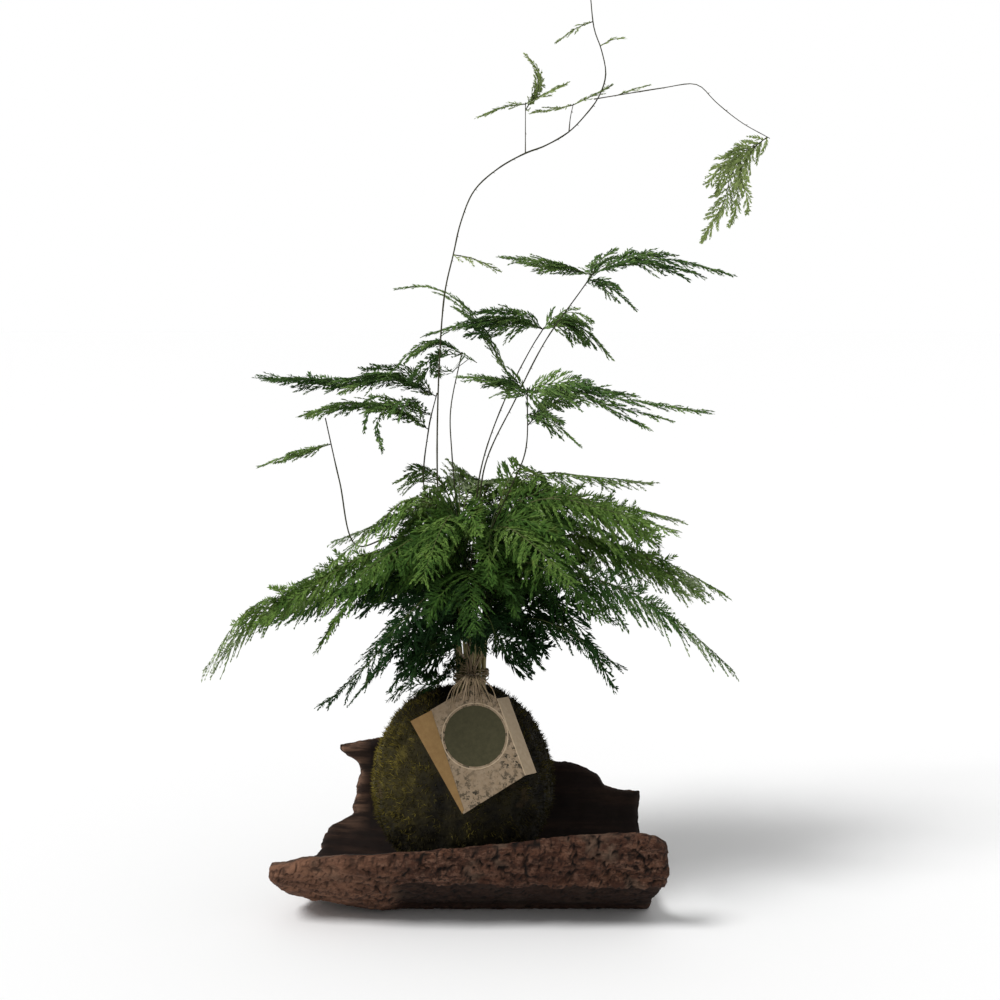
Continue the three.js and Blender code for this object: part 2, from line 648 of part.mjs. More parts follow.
function tallStem(name, seed) {
  const { foot, run, twigs, sprays } = TALL_STEMS[name];
  const [x, y] = [CROWN_X + foot[0], foot[1]];
  const path = [[x, y, STEM_FOOT], [x, y, 150], [x, y, CROWN_TOP], ...run];
  const wires = [path, ...twigs].map(smoothWire);
  const pieces = wires.map((wire) => tubeAlong(wire, STEM_RADIUS, Math.round(1.4 * wire.points.length)));
  sprays.forEach((spray, i) => {
    pieces.push(freeSpray(spray, wires, seed + i));
  });
  return toGeometry(fuse(pieces));
}

// Card: a folded kraft card that leans on the front of the ball
const CARD_MIDDLE = [[-28, 36], [-5, -34], [37, -8], [18, 44], [2, 54]];
const CARD_LEFT_WING = [[-42, 29], [-5.6, -33.6], [-4.4, -31], [-27, 36]];
const CARD_RIGHT_WING = 11;

function cardSpot(across, up, off) {
  const leaning = new THREE.Matrix4().makeRotationX(toRadians(90 - CARD_LEAN));
  return new THREE.Vector3(across, up, off).applyMatrix4(leaning).add(CARD_CENTRE);
}

// Raffia: two wraps round the neck, and strands that run down over the card
const TIE_HEIGHTS = [164, 166.5];
const TIE_TILTS = [-4, 5];
const KNOT = new THREE.Vector3(CROWN_X + 1, -TIE_RADIUS - 0.9, 165);
const STRAND_ENDS = [[-15, 33], [-5, 30], [7, 33], [16, 36]];
const LOOSE_ENDS = [[-3, -19, 190], [16, -20, 192]];

function raffiaTie() {
  const wraps = TIE_HEIGHTS.map((height, i) => {
    const wrap = new THREE.TorusGeometry(TIE_RADIUS, TIE_STRAND, 4, 12);
    return wrap.rotateX(toRadians(TIE_TILTS[i])).translate(CROWN_X, 0, height);
  });
  const lying = TAIL_STRAND + CARD_THICK + CLEARANCE;
  const overCard = STRAND_ENDS.map(([across, up]) => [
    KNOT,
    cardSpot(mix(0, across, 0.4), 57, lying + 3),
    cardSpot(mix(0, across, 0.7), 46, lying + 0.5),
    cardSpot(across, up, lying),
  ]);
  const loose = LOOSE_ENDS.map(([x, y, z]) => [
    KNOT,
    new THREE.Vector3(mix(CROWN_X, x, 0.6), y + 3, z - 12),
    new THREE.Vector3(x, y, z),
  ]);
  const strands = [...overCard, ...loose].map((path) => (
    tubeAlong(new THREE.CatmullRomCurve3(path), TAIL_STRAND, path.length, 3)
  ));
  return toGeometry(fuse([...wraps, ...strands]));
}

function cardPanel(corners) {
  const shape = new THREE.Shape(corners.map(([x, y]) => new THREE.Vector2(x, y)));
  return new THREE.ExtrudeGeometry(shape, { depth: CARD_THICK, bevelEnabled: false });
}

function foldedBack(panel, [ax, ay], [bx, by], degrees) {
  const axis = new THREE.Vector3(bx - ax, by - ay, 0).normalize();
  return panel.translate(-ax, -ay, 0)
    .applyMatrix4(new THREE.Matrix4().makeRotationAxis(axis, toRadians(degrees)))
    .translate(ax, ay, 0);
}

function giftCard() {
  const [top, bottom, right, shoulder] = CARD_MIDDLE;
  const leftWing = foldedBack(cardPanel(CARD_LEFT_WING), bottom, top, -16);
  const outward = new THREE.Vector2(right[0] - shoulder[0], right[1] - shoulder[1]).normalize();
  const beside = ([x, y], out) => [x - outward.y * out, y + outward.x * out];
  const rightWing = foldedBack(cardPanel([
    beside(shoulder, -1),
    beside(right, -1),
    beside(right, CARD_RIGHT_WING),
    beside(shoulder, CARD_RIGHT_WING),
  ]), right, shoulder, 48);
  const card = fuse([cardPanel(CARD_MIDDLE.slice().reverse()), leftWing, rightWing]);
  const geometry = toGeometry(card);
  geometry.rotateX(toRadians(90 - CARD_LEAN)).translate(...CARD_CENTRE.toArray());
  return geometry;
}

// Scene graph
const group = new THREE.Group();

function addPiece(name, geometry, material) {
  const mesh = new THREE.Mesh(geometry, material);
  mesh.name = name;
  group.add(mesh);
}

const feet = FRONDS.map((frond, slot) => crownFoot(slot));
for (const { foot: [x, y] } of Object.values(TALL_STEMS)) {
  feet.push([CROWN_X + x, y]);
}

addPiece('bark_trough', barkTrough(), bark);
addPiece('moss_jacket', mossJacket(), moss);
addPiece('soil_ball', soilBall(feet), soil);
FRONDS.forEach((frond, slot) => {
  const name = `frond_${String(slot + 1).padStart(2, '0')}`;
  addPiece(name, bushFrond(slot), frond[1] < 0.4 ? darkLeaf : leaf);
});
Object.keys(TALL_STEMS).forEach((name, i) => {
  addPiece(name, tallStem(name, 500 + 20 * i), leaf);
});
addPiece('raffia_tie', raffiaTie(), raffia);
addPiece('gift_card', giftCard(), kraft);

export default group;
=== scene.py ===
"""Plumed fern in a moss ball, lying in a curled trough of rough bark: the dressed model.

Lengths are worked out in millimetres, in the frame of the solids, and become metres in the meshes.
"""

import itertools
import math

import bpy
import numpy as np
from mathutils import Matrix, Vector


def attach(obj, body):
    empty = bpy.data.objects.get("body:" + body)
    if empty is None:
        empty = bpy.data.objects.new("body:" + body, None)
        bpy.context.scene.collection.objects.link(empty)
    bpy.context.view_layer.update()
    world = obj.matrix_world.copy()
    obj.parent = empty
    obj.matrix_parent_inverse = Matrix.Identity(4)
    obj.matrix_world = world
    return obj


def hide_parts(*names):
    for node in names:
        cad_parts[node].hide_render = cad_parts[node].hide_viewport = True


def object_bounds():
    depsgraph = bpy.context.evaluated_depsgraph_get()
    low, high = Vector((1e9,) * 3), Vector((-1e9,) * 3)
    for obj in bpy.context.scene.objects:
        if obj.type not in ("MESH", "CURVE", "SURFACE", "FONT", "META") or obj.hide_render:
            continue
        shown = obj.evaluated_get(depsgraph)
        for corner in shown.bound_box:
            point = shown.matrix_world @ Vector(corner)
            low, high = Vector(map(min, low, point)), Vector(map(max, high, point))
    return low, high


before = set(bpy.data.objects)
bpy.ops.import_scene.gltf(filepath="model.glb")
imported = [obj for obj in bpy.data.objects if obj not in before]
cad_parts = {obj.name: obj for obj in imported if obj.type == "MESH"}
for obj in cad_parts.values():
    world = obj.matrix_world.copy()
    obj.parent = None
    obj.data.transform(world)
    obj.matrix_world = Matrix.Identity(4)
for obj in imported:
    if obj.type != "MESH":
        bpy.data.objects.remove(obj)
cad_low, cad_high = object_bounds()

MM = 0.001
BOX_MARGIN = 0.6
BOX_LOW = np.array(cad_low) / MM + BOX_MARGIN
BOX_HIGH = np.array(cad_high) / MM - BOX_MARGIN

# Camera, read off the photograph, and light
CAMERA_TARGET = (26.6, 0.0, 288.0)
CAMERA_DISTANCE = 1200.0
CAMERA_PITCH = math.radians(6.0)
CAMERA_VIEW = 700.0
CAMERA_SENSOR = 36.0
SUN_SPOT = (-1.0, -0.75, 1.45)
SUN_STRENGTH = 2.4
SUN_SPREAD = math.radians(22.0)
SKY_STRENGTH = 0.5
BACKDROP_STRENGTH = 1.0
WHITE = (1, 1, 1, 1)

# Floor, in metres
FLOOR_HALF = 60.0
FLOOR_HEIGHT = -0.0005
FLOOR_COLOUR = (0.95, 0.95, 0.95, 1)

# Bark trough. Pairs are for the front and the back wall, a rim is places along the trough and the
# heights there, and a turn is measured from straight down
BARK_RADIUS = 80.0
BARK_SINK = 4.0
BARK_THICK = (12.0, 8.5)
BARK_THICK_FLOOR = 9.0
BARK_LEFT = (-132.0, -92.0)
BARK_RIGHT = (139.0, 130.0)
BARK_LIFT_START = -50.0
BARK_LIFT = 14.0
BARK_LIFT_POWER = 1.2
BARK_RIM_FRONT = ([-140, -108, -74, -34, 7, 120, 145], [31, 45, 51, 55, 59.5, 70.5, 60])
BARK_RIM_BACK = ([-100, -86, -60, 40, 66, 82, 100, 106, 135], [94, 97, 101, 96, 82, 80, 71, 62, 57])
BARK_FURROW = 1.9
BARK_PLATE = 1.5
BARK_PLATED = (-100, -50)
BARK_PLATE_SIZE = (24, 8)
BARK_PLATE_STEP = 1.0
BARK_FLAKE_SIZE = (8.5, 3.4)
BARK_FLAKE_STEP = 0.55
BARK_CRACK_WIDE, BARK_CRACK_DEEP = 0.16, 1.9
BARK_CHECK_WIDE, BARK_CHECK_DEEP = 0.22, 0.8
BARK_SPLIT_WIDE, BARK_SPLIT_DEEP = 0.22, 1.2
BARK_GRIT = 0.45
BARK_FOOT_TURNS = (0.32, 0.6)
BARK_UNDERCUT = 5.0
BARK_UNDERCUT_TURNS = (-1.0, -0.93, -0.42, -0.2)
BARK_UNDERCUT_ENDS = (-56, -38)
BARK_BITE = 19.0
BARK_BITE_TURNS = (0.69, 0.76, 0.9, 0.99)
BARK_CORNER = 1.5
BARK_CORNER_WIDE = 0.04
BARK_RAGGED = 3.0
BARK_EDGE = 4.5
BARK_EDGE_ROUND = 4.0
BARK_CLEAR = 0.9
BARK_CELLS = (180, 116, 5)

# Moss ball
BALL_WIDE = 63.5
BALL_TALL = 70.0
BALL_HEIGHT = 86.6
MOSS_THICK = 8.0
MOSS_LUMP = 2.2
MOSS_BEHIND_CARD = -1.0
MOSS_ROWS = 90
MOSS_TURNS = 150
MOSS_INNER_ROWS = 12
NECK_ANGLE = 0.33
POLE_GAP = 0.02
MOSS_TUFTS = 19000
MOSS_SEED = 7
TUFT_LONG = 2.4
TUFT_LIMITS = (0.8, 5.0)
TUFT_HALF = (0.3, 0.5)
TUFT_ROOT = 0.5

# Foliage
STEM_FOOT = 120.0
STEM_STRAIGHT = 150.0
STEM_PALE_TOP = (178, 204)
STEM_SIDES = 6
CROWN_X = 6.0
CROWN_TOP = 176.0
CROWN_RING_OUTER = 9.9
CROWN_RING_INNER = 6.9
SPRAY_START = 20.0
SPRAY_DROOP = 0.012
RIB_BELOW = 0.3
RIB_TIP = 0.16
RIB_FROND, RIB_BRANCH = 0.55, 0.4
RIB_TALL, RIB_TALL_BRANCH = 0.42, 0.3
BRANCH_REACH, TALL_BRANCH_REACH = 0.75, 0.6
TALL_STEM_RADII = (0.75, 0.42)
TALL_TWIG_RADII = (0.4, 0.28)
TALL_TILT = math.radians(12.0)
TALL_SPREAD = 0.72
THORN_START = 14.0
THORN_PITCH = 17.0
THORN_LONG = 2.0
THORN_HALF = 0.35
SINK_OUT = (35, 115)
TIP_OUT = (115, 175)
TIP_BELOW = (300, 320)
# Painted shade on needles: darker in the core of the bush and under its brow
CORE_OUT = (25, 95)
CORE_TOP = (262, 292)
BROW_TOP = (222, 278)
BROW_WIDE = 75
BROW_PAINTED_SHADE = 1.15
CORE_PAINTED_SHADE = 0.3
TIP_PALE = 0.4
PATCH_TONE = 0.25
PATCH_SIZE = 11
# Fronds below this level take the darker leaf copy: painted shade on the low fronds
SHADED_LEVEL = 0.4
BACK_FRONDS = (20, 160)
BACK_LEVEL = 0.8
FROND_SEED = 100
TALL_SEED = 500
TALL_SEED_STEP = 20
# Heights of the canopy over OUT, lowest and highest level: right, back, left, front
OUT = [0, 20, 45, 70, 100, 130, 160, 190, 220]
CANOPY = [
    ([176, 190, 200, 204, 197, 178, 146, 108, 80], [230, 280, 303, 307, 303, 300, 298, 298, 296]),
    ([176, 190, 206, 206, 197, 185, 172, 158, 142], [230, 280, 305, 309, 306, 302, 296, 288, 278]),
    ([176, 188, 202, 200, 192, 180, 164, 125, 80], [230, 284, 299, 286, 270, 257, 240, 190, 130]),
    ([176, 190, 203, 204, 197, 186, 173, 160, 146], [230, 280, 297, 293, 280, 264, 248, 232, 215]),
]
# Fronds: direction, level in the canopy, reach, width, sway, droop, hang and sink
FRONDS = [
    (352, 0.32, 184, 31, -8, 0.02, 0.7, 0), (6, 0.56, 184, 30, 6, 0.018, 0.6, 0),
    (20, 0.8, 166, 30, 6, 0.012, 0.35, 0), (34, 0.96, 172, 30, 10, 0.014, 0.25, 0),
    (48, 0.64, 158, 29, -6, 0.012, 0.25, 0), (62, 0.16, 150, 28, 6, 0.015, 0.25, 0),
    (76, 0.88, 168, 30, -8, 0.012, 0.25, 0), (90, 0.4, 165, 29, 8, 0.012, 0.25, 0),
    (103, 0.72, 168, 29, -6, 0.012, 0.25, 0), (117, 0.24, 160, 28, 8, 0.015, 0.25, 0),
    (129, 1, 92, 24, -6, 0.012, 0.25, 0), (145, 0.52, 163, 29, 6, 0.015, 0.25, 0),
    (156, 0.76, 116, 24, -8, 0.012, 0.3, 0), (172, 0.36, 150, 29, -8, 0.015, 0.45, 0),
    (187, 0.6, 188, 30, 8, 0.02, 0.6, 0), (204, 0.92, 106, 22, 6, 0.014, 0.35, 14),
    (214, 0.04, 118, 24, -6, 0.02, 0.3, 34), (227, 0.68, 142, 28, 6, 0.012, 0.3, 0),
    (241, 0.28, 124, 26, -8, 0.012, 0.25, 12), (255, 0.84, 132, 28, 6, 0.012, 0.25, 0),
    (269, 0.44, 138, 28, 8, 0.012, 0.25, 0), (283, 0.12, 112, 25, -6, 0.012, 0.2, 0),
    (297, 0.74, 138, 28, 6, 0.012, 0.25, 0), (311, 0.48, 142, 28, -8, 0.012, 0.3, 0),
    (325, 0.08, 120, 26, 6, 0.014, 0.25, 14), (339, 0.86, 150, 29, -6, 0.014, 0.35, 0),
]
# Tall stems: foot, run, side twigs, and sprays with their path, reach and way across if not level
TALL_STEMS = {
    "tall_stem_climber": {
        "foot": (-3.6, 0),
        "run": [(-1, -3, 200), (-9, -3, 250), (-16, -6, 284), (-12, -11, 426), (-5, -12, 459),
                (0, -11, 480), (9, -9, 501), (25, -5, 516), (44, 0, 527), (57, 2, 532), (74, 5, 542),
                (85, 5, 553), (94, 5, 565), (99, 5, 580), (96, 5, 597), (91, 5, 611), (88, 5, 636)],
        "twigs": [
            [(44, 0, 527), (44, 0, 545), (44, -1, 561)],
            [(74, 5, 542), (75, 5, 552), (77, 5, 561)],
            [(91, 5, 564), (108, 7, 567), (138, 9, 572), (159, 10, 575), (165, 10, 573), (175, 10, 563),
             (193, 10, 549), (213, 10, 538)],
        ],
        "sprays": [
            ([(-5, -12, 457), (8, -14, 455), (27, -18, 446)], 12),
            ([(44, -1, 560), (57, 0, 567), (72, 2, 574)], 14),
            ([(44, -1, 560), (30, -2, 558), (12, -5, 551)], 14),
            ([(44, -1, 556), (53, 2, 572), (52, 4, 584), (43, 5, 595)], 9, (0.6, 0.8, 0)),
            ([(77, 5, 560), (91, 7, 567), (104, 10, 574)], 12),
            ([(77, 5, 560), (64, 3, 557), (48, 0, 554)], 12),
            ([(95, 5, 599), (103, 7, 604), (112, 9, 606)], 9),
            ([(90, 5, 615), (78, 4, 611), (64, 2, 601)], 10),
            ([(88, 5, 633), (85, 5, 642), (79, 4, 652)], 9, (1, 0, 0)),
            ([(108, 7, 566), (118, 8, 571), (130, 9, 574)], 7),
            ([(211, 10, 539), (195, 9, 526), (186, 8, 512), (182, 8, 496), (166, 5, 467)], 20,
             (1, 0.2, 0.1)),
        ],
    },
    "tall_stem_right_high": {
        "foot": (3.6, 0),
        "run": [(5, 0, 200), (11, -1, 260), (16, -2, 312), (37, -5, 358), (58, -5, 399),
                (82, -5, 433), (92, -5, 447)],
        "sprays": [
            ([(91, -5, 446), (120, -2, 455), (150, 6, 454), (188, 14, 445)], 26),
            ([(90, -5, 444), (66, -8, 450), (46, -12, 454), (27, -16, 456)], 24),
            ([(88, -5, 441), (100, -22, 436), (118, -36, 420)], 16),
            ([(88, -5, 441), (98, 16, 456), (110, 34, 464)], 16),
        ],
    },
    "tall_stem_middle": {
        "foot": (1.8, 3.1),
        "run": [(3, 5, 200), (8, 9, 260), (13, 12, 308), (27, 22, 350), (48, 32, 392), (58, 35, 408)],
        "sprays": [
            ([(57, 34, 407), (36, 34, 413), (8, 35, 412), (-25, 36, 403)], 26),
            ([(57, 34, 407), (74, 36, 412), (90, 40, 404), (106, 45, 387)], 24),
            ([(36, 29, 368), (0, 52, 424), (-24, 58, 437), (-50, 62, 436)], 12),
        ],
    },
    "tall_stem_front": {
        "foot": (1.8, -3.1),
        "run": [(4, -6, 200), (18, -13, 262), (34, -22, 299), (44, -30, 325), (45, -36, 368)],
        "sprays": [
            ([(45, -36, 366), (72, -37, 366), (104, -37, 361), (168, -32, 351)], 27),
            ([(45, -36, 366), (30, -37, 371), (16, -38, 374), (2, -38, 375)], 24),
            ([(45, -35, 350), (62, -52, 345), (80, -62, 330)], 16),
            ([(45, -34, 342), (66, -16, 362), (86, -8, 372)], 14),
        ],
    },
    "tall_stem_left": {
        "foot": (-1.8, 3.1),
        "run": [(3, 7, 205), (2, 10, 238), (-7, 10, 264), (-26, 12, 290), (-24, 18, 336), (-18, 22, 362)],
        "sprays": [
            ([(-18, 22, 360), (-50, 25, 373), (-90, 26, 370), (-145, 26, 373)], 27),
            ([(-24, 18, 336), (-50, 8, 352), (-80, 2, 354), (-113, -2, 347)], 22),
            ([(-22, 20, 346), (-44, -4, 356), (-58, -8, 346), (-55, -10, 322)], 9, (1, 0, 0)),
        ],
    },
    "tall_stem_arc": {
        "foot": (-1.8, -3.1),
        "run": [(-1, -5, 200), (-2, -3, 260), (-7, 2, 320), (-8, 6, 350), (0, 8, 391)],
        "sprays": [([(0, 8, 389), (-16, 9, 398), (-34, 10, 392), (-52, 10, 375)], 16)],
    },
    "tall_stem_far_left": {
        "foot": (0, 0),
        "run": [(-4, 1, 215), (-18, 1, 251), (-48, -1, 262), (-74, -1, 256), (-86, 4, 301), (-96, 9, 345)],
        "sprays": [([(-92, 8, 326), (-108, 6, 322), (-124, 3, 318), (-142, 0, 311)], 15)],
    },
}
# Side branches: start as a share of the spray, turn in degrees, length as a share, lift and roll
INNER_BRANCHES = [(0.03, 26, 0.5, 9, 0.8), (0.1, -30, 0.48, -9, -0.8), (0, 6, 0.42, -20, 1.1),
                  (0, -10, 0.34, -34, -1.1)]
OUTER_BRANCHES = [(0.28, 22, 0.5, 5, 0.9), (0.36, -24, 0.46, -5, -0.9), (0.5, 12, 0.4, -8, 1.3)]
ARM_BRANCHES = [(0.26, 11, 0.54, 3, 0.4), (0.34, -12, 0.5, -3, -0.4), (0.55, 5, 0.4, -4, 0.8)]
ARM_FRINGE = [(0.42, 4, 0.34, -11, 1.2), (0.6, -6, 0.3, -9, -1.2), (0.3, -6, 0.36, -10, 1.3)]
CROWN_BRANCHES = [(-0.12, 14, 0.34, -6, 1.2), (-0.12, -16, 0.34, 8, -1.2)]
LOW_BRANCHES = {
    129: [(-0.1, -38, 0.8, 7, 0.4), (-0.1, -64, 0.75, 8, -0.3)],
    214: [(-0.06, 12, 0.62, -20, 0.5), (0.05, -14, 0.66, -14, -0.4), (0.02, 30, 0.5, -9, 0.9),
          (-0.12, 0, 0.46, -36, 0.3), (-0.12, 28, 0.42, -32, 0.7), (-0.1, -20, 0.5, -42, 0.6)],
    241: [(-0.12, -14, 0.42, -34, 0.4), (-0.12, 10, 0.4, -26, 0.6), (-0.12, -36, 0.44, -40, 0.3)],
    325: [(0.2, 14, 0.5, -3, 0.5)],
    352: [(0.28, 0, 0.5, -2, 1.35)],
}
FREE_BRANCHES = [(0.16, 24, 0.42, 3, 0.4), (0.28, -28, 0.42, -4, -0.5), (0.06, 8, 0.55, 3, 0.25),
                 (0.1, -10, 0.7, -3, -0.3)]
DENSE_BRANCHES = {
    "tall_stem_left": [(0.5, 10, 0.46, 3, 0.4), (0.55, -12, 0.42, -3, -0.5), (0.02, 6, 0.4, 8, 0.9)],
    "tall_stem_middle": [(0.0, 10, 0.6, 9, 0.6), (0.06, -12, 0.5, 5, -0.6), (0.1, 4, 0.6, -8, 1.1)],
    "tall_stem_front": [(-0.04, 4, 0.34, -9, 1.2), (0.0, -8, 0.34, 8, 0.9)],
    "tall_stem_arc": [(0.0, 6, 0.9, -12, 1.1), (0.12, -8, 0.8, -20, 0.9), (-0.2, 4, 0.7, -24, 0.8)],
}
ARMS = (6, 187, 172)
FRINGED_ARMS = (6, 187)
BROAD_ARMS = (339, 20)
CROWN_FRONT = (220, 320)
# How much paler a frond is than its level gives
PALER = {352: 0.3, 325: 0.14, 6: 0.05, 187: 0.14, 204: 0.12, 172: 0.12, 156: 0.1, 214: 0.08}
# Tone of a frond from the lowest to the highest level: painted light, so higher fronds are lighter
FROND_TONES = (0.25, 0.72)
INNER_COARSE = 1.6
CORE_COARSE = 2.1
CORE_LEVEL = 0.3
OUTER_COARSE = 1.2
PINNA_PITCH = 4.9
PINNA_LEAN = (68, 38)
NEEDLE_PITCH = 1.25
NEEDLE_LONG = 4.9
NEEDLE_HALF = 0.46
NEEDLE_TWIST = 0.6
NEEDLE_WIDEST = 0.42
NEEDLE_KEEL = 0.35
TWIG_HALF = 0.5

# Card, with its corners as across and up from its centre
CARD_CENTRE = np.array([7.0, -58.6, 115.0])
CARD_LEAN = math.radians(22.0)
CARD_THICK = 0.8
CARD_MIDDLE = [(-28, 36), (-5, -34), (37, -8), (18, 44), (2, 54)]
CARD_LEFT_WING = [(-42, 29), (-5.6, -33.6), (-4.4, -31), (-27, 36)]
CARD_LEFT_FOLD = -16
CARD_RIGHT_WING = 11.0
CARD_RIGHT_FOLD = 48
CARD_HULL = [(-43, 29), (-6, -35), (48, -5), (29, 48), (2, 54), (-28, 37)]
CARD_DISC = (2.6, 18.4)
CARD_DISC_RADIUS = 20.8
CARD_RIM_RADIUS = CARD_DISC_RADIUS + 1.9
CARD_RING_RADIUS = CARD_DISC_RADIUS + 1.2
CARD_DISC_POINTS = 72
CARD_PRINT_STEP = 0.03
CARD_PRINT_LOW = 0.4

# Raffia
TIE_RADIUS = 12.4
TIE_WRAPS = 7
TIE_HEIGHT = 161.5
TIE_STEP = 1.2
KNOT_X = CROWN_X + 1
KNOT_HEIGHT = 165
KNOT_LOOPS = 3
FAN_STRANDS = 18
FAN_HALF = 19
FAN_ROWS = (57, 51, 44)
FAN_LYING = CARD_THICK + 0.45
SHORT_ENDS = 10
SHORT_HALF = 13
RAFFIA_FLAT = 0.4
RAFFIA_SEED = 31


# Noise, tables and curves
def columns(*values):
    """Lists of values side by side, such as x, y and z."""
    return np.stack(values, -1)


def lattice(i, j, k):
    """A fixed value from -1 to 1 for each place of a grid."""
    wave = np.sin(i * 127.1 + j * 311.7 + k * 74.7) * 43758.5453
    return (wave - np.floor(wave)) * 2 - 1


def noise(x, y, z):
    x, y, z = np.broadcast_arrays(*(np.asarray(v, float) for v in (x, y, z)))
    i, j, k = np.floor(x), np.floor(y), np.floor(z)
    u, v, w = ((t * t * (3 - 2 * t)) for t in (x - i, y - j, z - k))
    total = np.zeros_like(x)
    for a, b, c in itertools.product((0, 1), repeat=3):
        weight = (u if a else 1 - u) * (v if b else 1 - v) * (w if c else 1 - w)
        total += weight * lattice(i + a, j + b, k + c)
    return total


def noise_at(spots, size):
    return noise(*(spots / size).T)


def plates(x, y, seed):
    """Cell noise: distance to the nearest crack between cells, and each cell's own random value."""
    i, j = np.floor(x), np.floor(y)
    first, second, own = np.full(x.shape, 9.0), np.full(x.shape, 9.0), np.zeros(x.shape)
    for a, b in itertools.product((-1, 0, 1), repeat=2):
        px = i + a + 0.5 + 0.42 * lattice(i + a, j + b, seed)
        py = j + b + 0.5 + 0.42 * lattice(i + a, j + b, seed + 7)
        far = np.hypot(px - x, py - y)
        near = far < first
        second = np.where(near, first, np.minimum(second, far))
        own = np.where(near, lattice(i + a, j + b, seed + 13), own)
        first = np.where(near, far, first)
    return second - first, own


def read_table(xs, ys, x):
    xs, ys, x = np.asarray(xs, float), np.asarray(ys, float), np.asarray(x, float)
    last = len(xs) - 1
    slope = np.array([
        (ys[min(last, i + 1)] - ys[max(0, i - 1)]) / (xs[min(last, i + 1)] - xs[max(0, i - 1)])
        for i in range(last + 1)
    ])
    cell = np.clip(np.searchsorted(xs, x, "left") - 1, 0, last - 1)
    span = xs[cell + 1] - xs[cell]
    t = (x - xs[cell]) / span
    t2, t3 = t * t, t * t * t
    inside = (ys[cell] * (2 * t3 - 3 * t2 + 1) + ys[cell + 1] * (3 * t2 - 2 * t3)
              + span * (slope[cell] * (t3 - 2 * t2 + t) + slope[cell + 1] * (t3 - t2)))
    beyond = ys[last] + (ys[last] - ys[last - 1]) / (xs[last] - xs[last - 1]) * (x - xs[last])
    return np.where(x >= xs[last], beyond, inside)


def mix(a, b, t):
    return a + (b - a) * t


def smoothstep(low, high, value):
    t = np.clip((value - low) / (high - low), 0, 1)
    return t * t * (3 - 2 * t)


def bump(value, centre, width):
    return np.exp(-(((value - centre) / width) ** 2))


def unit(v):
    return v / np.maximum(np.linalg.norm(v, axis=-1, keepdims=True), 1e-9)


def round_turns(count):
    return np.arange(count) / count * 2 * math.pi


def crossed(first, second):
    """Each value of the first list with each value of the second."""
    return (m.ravel() for m in np.meshgrid(first, second, indexing="ij"))


def spline(points, per_span=16):
    """A centripetal Catmull-Rom curve through the points, as a dense line."""
    p = np.asarray(points, float)
    p = np.vstack([2 * p[0] - p[1], p, 2 * p[-1] - p[-2]])
    line = []
    for i in range(1, len(p) - 2):
        a, b, c, d = p[i - 1:i + 3]
        d0, d1, d2 = (max(np.sum((n - m) ** 2) ** 0.25, 1e-4) for m, n in ((a, b), (b, c), (c, d)))
        t1 = ((b - a) / d0 - (c - a) / (d0 + d1) + (c - b) / d1) * d1
        t2 = ((c - b) / d1 - (d - b) / (d1 + d2) + (d - c) / d2) * d1
        t = np.linspace(0, 1, per_span, endpoint=False)[:, None]
        square = (-3 * b + 3 * c - 2 * t1 - t2) * t ** 2
        line.append(b + t1 * t + square + (2 * b - 2 * c + t1 + t2) * t ** 3)
    return np.vstack([*line, p[-2]])


class Curve:
    """A line that is read by its length."""

    def __init__(self, line):
        self.line = line
        steps = np.linalg.norm(np.diff(line, axis=0), axis=1)
        self.at = np.concatenate([[0.0], np.cumsum(steps)])
        self.length = self.at[-1]

    def read(self, s):
        return columns(*(np.interp(s, self.at, self.line[:, k]) for k in range(3)))

    def spot(self, s):
        s = np.asarray(s, float)
        inside = np.clip(s, 0, self.length)
        return self.read(inside) + (s - inside)[..., None] * self.tangent(inside)

    def tangent(self, s):
        half = 0.01 * self.length
        low, high = np.clip(s - half, 0, self.length), np.clip(s + half, 0, self.length)
        return unit(self.read(high) - self.read(low))


# Meshes
def placed(name, data):
    """A new object in the scene."""
    made = bpy.data.objects.new(name, data)
    bpy.context.scene.collection.objects.link(made)
    return made


class Shape:
    """Closed bodies gathered into one mesh, with a shade for each point and a slot for each face."""

    def __init__(self):
        self.points, self.faces, self.shades, self.slots, self.count = [], [], [], [], 0

    def add(self, points, faces, shade, slot=0):
        points = np.asarray(points, float).reshape(-1, 3)
        faces = np.asarray(faces, int)
        self.points.append(points)
        self.faces.append(faces + self.count)
        self.shades.append(np.broadcast_to(np.asarray(shade, float), len(points)))
        self.slots.append(np.broadcast_to(np.asarray(slot, int), len(faces)))
        self.count += len(points)

    def build(self, name, materials, smooth=False):
        points = np.vstack(self.points) * MM
        faces, slots = np.vstack(self.faces), np.concatenate(self.slots)
        mesh = bpy.data.meshes.new(name)
        mesh.vertices.add(len(points))
        mesh.vertices.foreach_set("co", points.astype(np.float32).ravel())
        mesh.loops.add(faces.size)
        mesh.loops.foreach_set("vertex_index", faces.astype(np.int32).ravel())
        mesh.polygons.add(len(faces))
        mesh.polygons.foreach_set("loop_start", np.arange(0, faces.size, faces.shape[1], dtype=np.int32))
        mesh.polygons.foreach_set("material_index", slots.astype(np.int32))
        mesh.polygons.foreach_set("use_smooth", np.full(len(faces), smooth))
        shade = mesh.attributes.new("shade", "FLOAT", "POINT")
        shade.data.foreach_set("value", np.concatenate(self.shades).astype(np.float32))
        mesh.update(calc_edges=True)
        mesh.validate()
        for material in materials:
            mesh.materials.append(material)
        return placed(name, mesh)


def closed_rings(rings, sides):
    """Triangles of a body of stacked rings, closed by one more point at its start and at its end."""
    i, j = crossed(np.arange(rings - 1), np.arange(sides))
    a, b = i * sides + j, i * sides + (j + 1) % sides
    ring = np.arange(sides)
    after = (ring + 1) % sides
    last = (rings - 1) * sides
    start, end = rings * sides, rings * sides + 1
    return np.vstack([
        columns(a, b, b + sides),
        columns(a, b + sides, a + sides),
        columns(after, ring, np.full(sides, start)),
        columns(last + ring, last + after, np.full(sides, end)),
    ])


